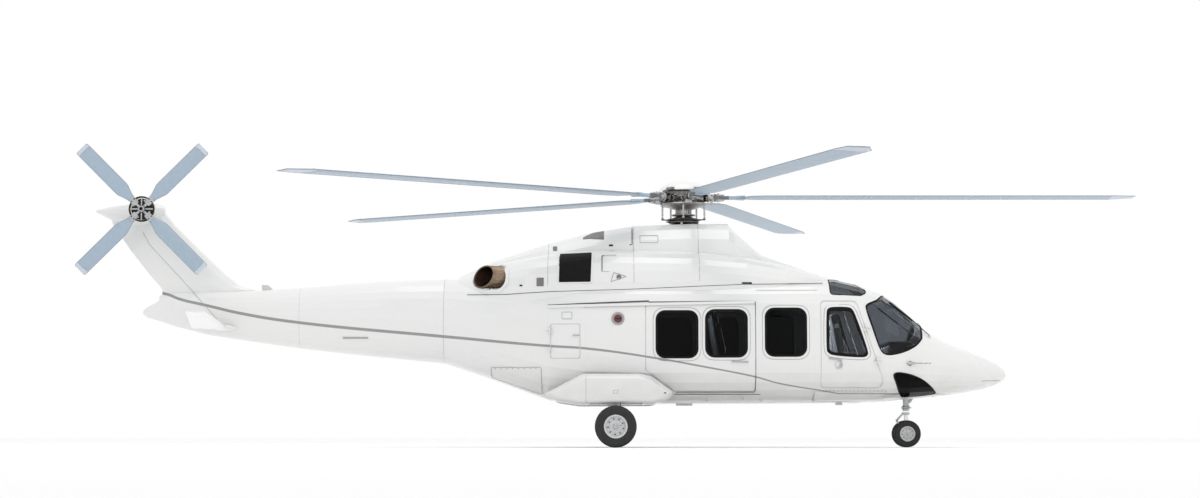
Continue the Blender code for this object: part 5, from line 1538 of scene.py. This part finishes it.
def exhausts():
    """The exhausts: the slanted lip and soot inside of each pipe, and the rounded rim of its hole."""
    both_sides(tube("exhaust_lip_right", mouth(0.160), 0.0085, closed=True), "airframe", "exhaust_steel", EXHAUST)
    inner = mouth(0.146)
    rows = [[point - PIPE_WAY * depth for point in inner] for depth in (0.004, 0.06, 0.14, 0.24)]
    ahead = [(point - PIPE_ROOT).project(PIPE_WAY) for point in inner]
    rows.append([PIPE_ROOT + far * 0.2 + (point - PIPE_ROOT - far) * 0.4 for point, far in zip(inner, ahead)])
    liner = loft("exhaust_soot_liner_right", [row[::-1] for row in rows[::-1]])
    mode("EDIT")
    pick(liner, "faces", lambda face: len(face.verts) > 4 and face.calc_center_median().x < -1.7)
    bpy.ops.mesh.delete(type="ONLY_FACE")
    mode("OBJECT")
    modify(liner, "SOLIDIFY", thickness=0.003, offset=0.0)
    both_sides(liner, "airframe", "exhaust_steel", EXHAUST_INSIDE)
    hole = [(-1.900, 2.310), (-1.620, 2.305), (-1.525, 2.400), (-1.525, 2.600), (-1.620, 2.670), (-1.900, 2.670)]
    middle, outline = Vector((-1.676, 2.488)), grown(hole, 0.036)
    collar = unit_grid("exhaust_collar_right", 40, 4)
    for vertex in collar.data.vertices:
        # The collar runs round the front of the hole only, from under the pipe to over it
        turn = 1.25 * math.pi * vertex.co.x
        way = Vector((math.cos(turn), math.sin(turn)))
        edge = 1 / math.hypot(way.x / 0.146, way.y / 0.183)
        far = max(reach(outline, middle, way), edge + 0.02)
        place = middle + way * (edge + (far - edge) * (vertex.co.y + 0.5))
        vertex.co = (place.x, on_side(*(middle + way * (far + 0.006))).y - 0.007, place.y)
    collar.data.update()
    face_out(collar)
    skin(thicken(collar, 0.012, 0.003), PAINT)


def intakes():
    """The engine intakes: a near-black plate across each hole, painted shade for the duct behind it, with a rounded
    white mouth.
    """
    corners = [(-0.752, 2.396), (-0.284, 2.400), (-0.268, 2.858), (-0.738, 2.842)]
    skin(ring("intake_mouth_right", grown(corners, 0.020), 0.035, 0.022, 0.008, 0.014, 0.004), PAINT)
    low, high = (-0.756, 2.392), (-0.272, 2.856)
    # Painted shade: a near-black plate across the hole, just outside the skin, stands for the dark duct behind it
    skin(plate("intake_screen_right", low, high, 0.02, 0.0035, 0.006, 0.0, 16, across_intake), INTAKE_SHADE_BLACK)
    route = along([(-0.745, 2.712), (-0.52, 2.722), (-0.285, 2.752)], 0.04)
    bar = [across_intake(*point) + STARBOARD * 0.002 for point in route]
    skin(tube("intake_splitter_right", bar, 0.005, 6), DARK_STEEL)


def skin_details():
    """The cooling flap with its vent, and the lugs under the belly's edge."""
    flap = rounded([(0.003, 2.395), (0.2455, 2.482), (0.049, 2.545)], 0.010)
    skin(ring("cooling_flap_edge_right", flap, 0.0, 0.008, 0.004, 0.010, 0.002, 2), GREY_SEAL)
    skin(disc("cooling_flap_vent_right", proud(0.125, 2.470, 0.002), 0.036, 0.012, 0.6), GREY_PLASTIC)
    for k, (x, z) in enumerate(((1.405, 0.690), (1.920, 0.718), (2.200, 0.690))):
        skin(disc(f"belly_lug_{k + 1}_right", proud(x, z, 0.008), 0.022, 0.030, 0.2), WINDOW_TRIM)


def probes_and_wipers():
    """Pitot heads beside the nose, wipers on the windshields, and their pivots."""
    head = turned("pitot_base_right", [
        (10, -20), (20, -10), (22, 20), (18, 80), (8.5, 100), (7.5, 300), (8.5, 318), (6, 324),
    ], (4.320, -0.997, 1.215), (0.320, -0.015, 0.002), 20, 40)
    both_sides(head, "airframe", "gear_steel", BRIGHT_STEEL)
    foot = disc("pitot_plate_right", proud(4.345, 1.215, 0.002), 0.034, 0.020, 0.1)
    both_sides(foot, "airframe", "gear_steel", GREY_PLASTIC)
    points = [Vector((4.669, -0.633, 1.612)), Vector((4.338, -0.718, 1.886)), Vector((4.060, -0.727, 2.100))]
    nudge = Vector((0.016, -0.020, 0.020))
    arm = [points[0] + Vector((0.010, -0.012, 0.016)), points[1] + nudge, points[2] + nudge]
    blade = [point + nudge * 0.65 for point in (points[1].lerp(points[0], 0.20), points[1], points[2])]
    pivot = [(28, -20), (28, 6), (22, 12), (16, 14), (16, 26), (10, 30)]
    skin(tube("wiper_arm_right", along(arm, 0.04), 0.006), BLACK_RUBBER)
    skin(tube("wiper_blade_right", along(blade, 0.04), 0.010, 6), BLACK_RUBBER)
    skin(turned("wiper_pivot_right", pivot, points[0], (0.35, -0.45, 0.8)), WINDOW_TRIM)


def aerials_and_lamps():
    """The small swept aerial on the boom, thinner and further back towards its end, and the landing lamp."""
    long, thick, rise = 0.16, 0.016, 0.070
    root = on_top(-5.11, 0.0) - Vector((0, 0, 0.006))
    aerial = begin("boom_aerial", "cube", size=1.0, location=root, scale=(long, thick, 0.02))
    pick_facing(aerial, Z)
    extrude((-long * 0.20, 0, rise * 0.75))
    pick_facing(aerial, Z)
    bpy.ops.transform.resize(value=(0.72, 0.6, 1.0), center_override=picked_middle(aerial))
    extrude((-long * 0.06, 0, rise * 0.25))
    bpy.ops.transform.resize(value=(0.70, 0.5, 1.0), center_override=picked_middle(aerial))
    mode("OBJECT")
    put_on(soften(aerial, thick * 0.3, 3), "airframe", "airframe_paint", WINDOW_TRIM)
    lamp = [(85, -18), (85, 0), (78, 2), (70, -2), (10, 0)]
    put_on(turned("landing_lamp", lamp, under(3.60, 0.0), DOWN, 36), "airframe", "airframe_paint", CLEAR_LAMP)


# The cockpit and the cabin

SEAT_LEAN = turned_about((0.066, 0.0, 0.395), -10.7, "Y")
CABIN_SEAT_WIDTH = 1.26


def padded(name, low, high, edge, cap):
    """A stuffed leather cushion: a block with eased edges, blown up as cloth by no more than the cap."""
    piece = cube(name, low, high)
    bpy.ops.mesh.bevel(offset=edge, segments=4)
    mode("OBJECT")
    modify(piece, "REMESH", mode="VOXEL", voxel_size=0.006)
    starts = [vertex.co.copy() for vertex in piece.data.vertices]
    cloth = piece.modifiers.new("stuffing", "CLOTH")
    cloth.settings.quality = 4
    cloth.settings.mass = 0.2
    cloth.settings.tension_stiffness = cloth.settings.compression_stiffness = 12.0
    cloth.settings.use_pressure = True
    cloth.settings.uniform_pressure_force = 4.0
    cloth.settings.effector_weights.gravity = 0.0
    for step in range(1, 21):
        bpy.context.scene.frame_set(step)
    blown = piece.evaluated_get(bpy.context.evaluated_depsgraph_get())
    ends = [vertex.co.copy() for vertex in blown.data.vertices]
    piece.modifiers.remove(cloth)
    bpy.context.scene.frame_set(1)
    for vertex, start, end in zip(piece.data.vertices, starts, ends):
        move = end - start
        vertex.co = start + (move.normalized() * cap if move.length > cap else move)
    modify(piece, "SMOOTH", factor=0.5, iterations=6)
    modify(piece, "SUBSURF", levels=1, render_levels=1)
    modify(piece, "DECIMATE", ratio=0.3)
    bpy.ops.object.shade_smooth()
    return piece


def stitched(name, cushion, route, radius, closed=False):
    """A piping or a sewn line pressed into a cushion along the route."""
    points = []
    for point in along(route, 0.012, closed):
        found, at, normal, index = cushion.closest_point_on_mesh(point)
        points.append(tuple(at - normal * radius * 0.3))
    return tube(name, points, radius, 6, closed)


def piping(name, cushion, corners, corner_radius, axis, level, radius=0.0035):
    """Piping round the edge of a cushion: a rounded rectangle across an axis, at this level."""
    corners = rounded(corners, corner_radius, 4)
    route = [(level, a, b) if axis == "X" else (a, b, level) for a, b in corners]
    return stitched(name, cushion, route, radius, True)


def strap(name, points, across, width=0.044, thickness=0.003):
    """A flat belt through these points, as wide as this across the given direction."""
    side = Vector(across).normalized() * width / 2
    rings = []
    for k, point in enumerate(points):
        here = Vector(point)
        ahead = Vector(points[min(k + 1, len(points) - 1)]) - Vector(points[max(k - 1, 0)])
        lift = side.cross(ahead).normalized() * thickness / 2
        rings.append([here - side - lift, here + side - lift, here + side + lift, here - side + lift])
    return loft(name, rings)


def seat_legs():
    """The four splayed legs of a seat with their braces and cross tubes."""
    made = []
    for y in (-0.19, 0.19):
        for foot_x, head_x in ((0.06, 0.12), (0.42, 0.36)):
            leg = [(26, 4), (26, 10), (15, 14), (15, 220), (22, 226), (22, 236)]
            made.append(turned("leg", leg, (foot_x, y, 0.0), (head_x - foot_x, 0, 0.236), 16))
        made.append(tube("brace", [(0.075, y, 0.05), (0.375, y, 0.21)], 0.009))
    made += [tube("cross", [(x, -0.19, 0.10), (x, 0.19, 0.10)], 0.010) for x in (0.09, 0.39)]
    return join_all("seat_legs", made)


def crew_harness(side, y):
    """The shoulder and lap belts of a crew seat, and their round buckle."""
    belts = []
    for way in (-1, 1):
        route = [(-0.030, 0.075 * way, 0.60), (0.010, 0.075 * way, 0.645), (0.078, 0.080 * way, 0.60),
                 (0.090, 0.085 * way, 0.42), (0.096, 0.070 * way, 0.20), (0.125, 0.030 * way, 0.04)]
        belts.append(strap(f"belt_{way}", [tuple(SEAT_LEAN @ Vector(point)) for point in route], Y))
        lap = [(0.10, 0.216 * way, 0.30), (0.13, 0.205 * way, 0.402), (0.18, 0.10 * way, 0.418),
               (0.205, 0.03 * way, 0.424)]
        belts.append(strap(f"lap_{way}", lap, (1, 0, 0.15)))
    buckle = turned(f"harness_buckle_{side}", [(30, 0), (34, 5), (34, 14), (26, 20)], (0.200, 0, 0.418), (-0.25, 0, 1))
    belt = join_all(f"crew_harness_{side}", belts)
    for piece, slot, material in ((belt, "seat_leather", WEBBING), (buckle, "gear_steel", BRIGHT_STEEL)):
        piece.data.transform(Matrix.Translation((3.30, y, FLOOR_Z)))
        put_on(piece, "airframe", slot, material)


def seats():
    """Leather seats in place of the plain ones: two crew seats with harnesses, and two rows of three."""
    cushion = padded("seat_cushion", (0.112, -0.212, 0.268), (0.482, 0.212, 0.375), 0.030, 0.010)
    cushion_piping = piping("cushion_piping", cushion, box(0.116, -0.208, 0.478, 0.208), 0.04, "Z", 0.385)
    back = padded("seat_back", (0.006, -0.205, 0.010), (0.072, 0.205, 0.425), 0.026, 0.010)
    back_piping = piping("back_piping", back, box(-0.200, 0.016, 0.200, 0.420), 0.04, "X", 0.085)
    lines = [[(0.10, y, 0.04), (0.10, y, 0.40)] for y in (-0.105, 0.105)]
    lines += [[(0.10, -0.10, z), (0.10, 0.10, z)] for z in (0.12, 0.20, 0.28, 0.36)]
    back_seams = join_all("back_seams", [stitched(f"channel_{k}", back, line, 0.0022) for k, line in enumerate(lines)])
    rest = padded("seat_headrest", (0.006, -0.125, 0.468), (0.060, 0.125, 0.628), 0.022, 0.008)
    rest_piping = piping("headrest_piping", rest, box(-0.118, 0.474, 0.118, 0.622), 0.03, "X", 0.075, 0.003)
    shell = block("seat_shell", (-0.028, -0.212, -0.040), (-0.002, 0.212, 0.400), 0.008, (Z, 0.060, 0.86),
                  (Z, 0.160, 0.80), ((-1, 0, 0), 0.008, 0.92))
    pan = block("seat_pan", (0.060, -0.215, 0.240), (0.470, 0.215, 0.258), 0.005, ((0, 0, -1), 0.012, 0.9))
    for piece in (back, back_piping, back_seams, rest, rest_piping, shell):
        piece.data.transform(SEAT_LEAN)
    parts = (
        (cushion, LEATHER), (back, LEATHER), (rest, LEATHER), (cushion_piping, PIPING), (back_piping, PIPING),
        (back_seams, PIPING), (rest_piping, PIPING), (shell, GREY_PLASTIC), (pan, GREY_PLASTIC), (seat_legs(), ALLOY),
    )
    places = [(f"crew_{side}", 3.30, y, 1.0, f"crew_seat_{side}") for side, y in (("right", -CREW_Y), ("left", CREW_Y))]
    for row, back_x in ((1, 0.10), (2, 1.55)):
        for number, y in enumerate((-0.587, 0.0, 0.587)):
            node = f"cabin_seat_{row}" if number == 0 else None
            places.append((f"row_{row}_{number + 1}", back_x, y, CABIN_SEAT_WIDTH, node))
    for place, x, y, wide, node in places:
        matrix = Matrix.Translation((x, y, FLOOR_Z + 0.001)) @ Matrix.Diagonal((1.0, wide, 1.0, 1.0))
        for piece, material in parts:
            made = copy_of(piece, f"{piece.name}_{place}", matrix)
            put_on(made, "airframe", "seat_leather", material, *((node,) if node and piece is cushion else ()))
    remove(piece for piece, material in parts)
    crew_harness("right", -CREW_Y)
    crew_harness("left", CREW_Y)


def on_panel(piece, material):
    """A piece of the cockpit."""
    put_on(piece, "airframe", "panel", material)


def controls(side, y):
    """The stick, the lever and the pedals in front of one crew seat."""
    on_panel(tube(f"cyclic_stick_{side}", [
        (3.960, y, 0.945), (3.935, y, 1.05), (3.900, y, 1.16), (3.890, y, 1.24), (3.905, y, 1.31),
    ], 0.014, 10), DARK_STEEL)
    grip = [(16, 0), (21, 10), (18, 40), (22, 80), (26, 105), (24, 125), (14, 134)]
    on_panel(turned(f"cyclic_grip_{side}", grip, (3.903, y, 1.290), (0.15, 0, 1), 20, 40), BLACK_RUBBER)
    lever = [(12, 0), (14, 10), (14, 240), (20, 250), (20, 360), (26, 370), (26, 410), (16, 420)]
    on_panel(turned(f"collective_lever_{side}", lever, (3.250, y + 0.265, 1.050), (0.90, 0, 0.42), 20), BLACK_RUBBER)
    pedals = []
    for way in (-1, 1):
        foot_y = y + 0.075 * way
        pedals.append(block(f"pedal_{way}", (4.180, foot_y - 0.040, 0.900), (4.196, foot_y + 0.040, 1.010), 0.004,
                            ((-1, 0, 0), 0.006, 0.92), turn=-18))
        arm = [(4.200, foot_y, 0.94), (4.250, foot_y, 0.98), (4.300, foot_y, 1.08)]
        pedals.append(tube(f"pedal_arm_{way}", arm, 0.008))
    on_panel(join_all(f"pedals_{side}", pedals), ALLOY)


def cockpit():
    """The glareshield, the displays, the console's keys, the sticks, the levers and the pedals."""
    on_panel(block("glareshield", (4.105, -0.715, 1.500), (4.430, 0.715, 1.530), 0.010, ((-1, 0, 0), 0.035, 0.97),
                   (Z, 0.016, 0.90)), MATT_BLACK)
    lean = turned_about((4.086, 0, 1.395), 11.3, "Y")
    for name, material, back, front, wide, high, soft, step in (
        ("display_bezels", GREY_PLASTIC, -0.020, 0.012, 0.108, 0.088, 0.006, ((-1, 0, 0), 0.004, 0.96)),
        ("display_glasses", DISPLAY, -0.0265, -0.018, 0.088, 0.070, 0.001, ((-1, 0, 0), 0.001, 0.99)),
    ):
        made = []
        for k, y in enumerate((-0.56, -0.325, 0.325, 0.56, 0.0)):
            made.append(block(f"{name}_{k}", (back, y - wide, -high), (front, y + wide, high), soft, step))
            made[-1].data.transform(lean)
        on_panel(join_all(name, made), material)
    keys = []
    for x in (3.50 + 0.052 * row for row in range(9)):
        z = 1.160 + (x - 3.45) * 0.32
        for y in (-0.118 + 0.066 * column for column in range(4)):
            keys.append(block("key", (x, y, z - 0.004), (x + 0.030, y + 0.038, z + 0.010), 0.002, (Z, 0.002, 0.9)))
    on_panel(join_all("console_keys", keys), GREY_PLASTIC)
    controls("right", -CREW_Y)
    controls("left", CREW_Y)


def floors():
    """Carpet with a bound edge along the floors of the cabin and the cockpit."""
    for name, low, high, half in (("cabin", -0.330, 3.060, 0.98), ("cockpit", 3.070, 3.950, 0.76)):
        on_panel(block(f"{name}_carpet", (low, -half, 0.9405), (high, half, 0.9500), 0.004, (Z, 0.002, 0.995)), CARPET)


# The studio

def lamp(name, at, size, power):
    """A soft area light."""
    data = bpy.data.lights.new(name, "AREA")
    data.size = size
    data.energy = power
    light = bpy.data.objects.new(name, data)
    bpy.context.scene.collection.objects.link(light)
    light.location = at
    return light


def studio():
    """A pale floor, a white surround, soft lights and the camera."""
    bpy.ops.mesh.primitive_plane_add(size=500.0, location=(0.0, 0.0, 0.0))
    floor = bpy.context.object
    floor.name = "studio_floor"
    pale = Finish("pale_studio_floor", "#FBFBFB", 0.9)
    pale.colour(pale.noise(3.0, 4.0), "#FAFAFA", "#FCFCFC")
    floor.data.materials.append(pale.material)
    scene = bpy.context.scene
    scene.world = bpy.data.worlds.new("white_surround")
    scene.world.use_nodes = True
    surround = scene.world.node_tree.nodes["Background"].inputs
    surround["Color"].default_value = (1.0, 1.0, 1.0, 1.0)
    surround["Strength"].default_value = 1.0
    for name, at, size, power in (
        ("overhead_light", (0.0, -4.0, 20.0), 14.0, 700.0),
        ("front_light", (16.0, -14.0, 9.0), 8.0, 150.0),
    ):
        light = lamp(name, at, size, power)
        light.data.shape = "DISK"
        light.rotation_euler = (Vector((0.0, 0.0, 1.8)) - Vector(at)).to_track_quat("-Z", "Y").to_euler()
    for k, (x, y, power) in enumerate(((0.9, -0.15, 130.0), (2.3, -0.15, 150.0), (3.45, 0.0, 90.0))):
        light = lamp(f"cabin_light_{k + 1}", (x, y, 2.28), 0.4, power)
        light.visible_camera = light.visible_transmission = light.visible_glossy = False
    lens = bpy.data.cameras.new("camera")
    lens.lens = 72.47
    lens.sensor_width = 36.0
    camera = bpy.data.objects.new("camera", lens)
    scene.collection.objects.link(camera)
    camera.location = (-0.149, -36.0, 0.15)
    camera.rotation_euler = (math.radians(94.4535), 0.0, 0.0)
    scene.camera = camera
    scene.view_settings.view_transform = "Standard"


for build in (
    dress_solids, pane_frames, window_frames, sponsons, skin_seams, small_plates, grilles, fuel_filler, handles,
    skin_rivets, rotor_head, hub_arms, hub_dampers, pitch_links, control_plate, hub_dome, blade_edges, tail_rotor,
    main_gear, nose_gear, wheels, exhausts, intakes, skin_details, probes_and_wipers, aerials_and_lamps, seats,
    cockpit, floors, studio,
):
    build()
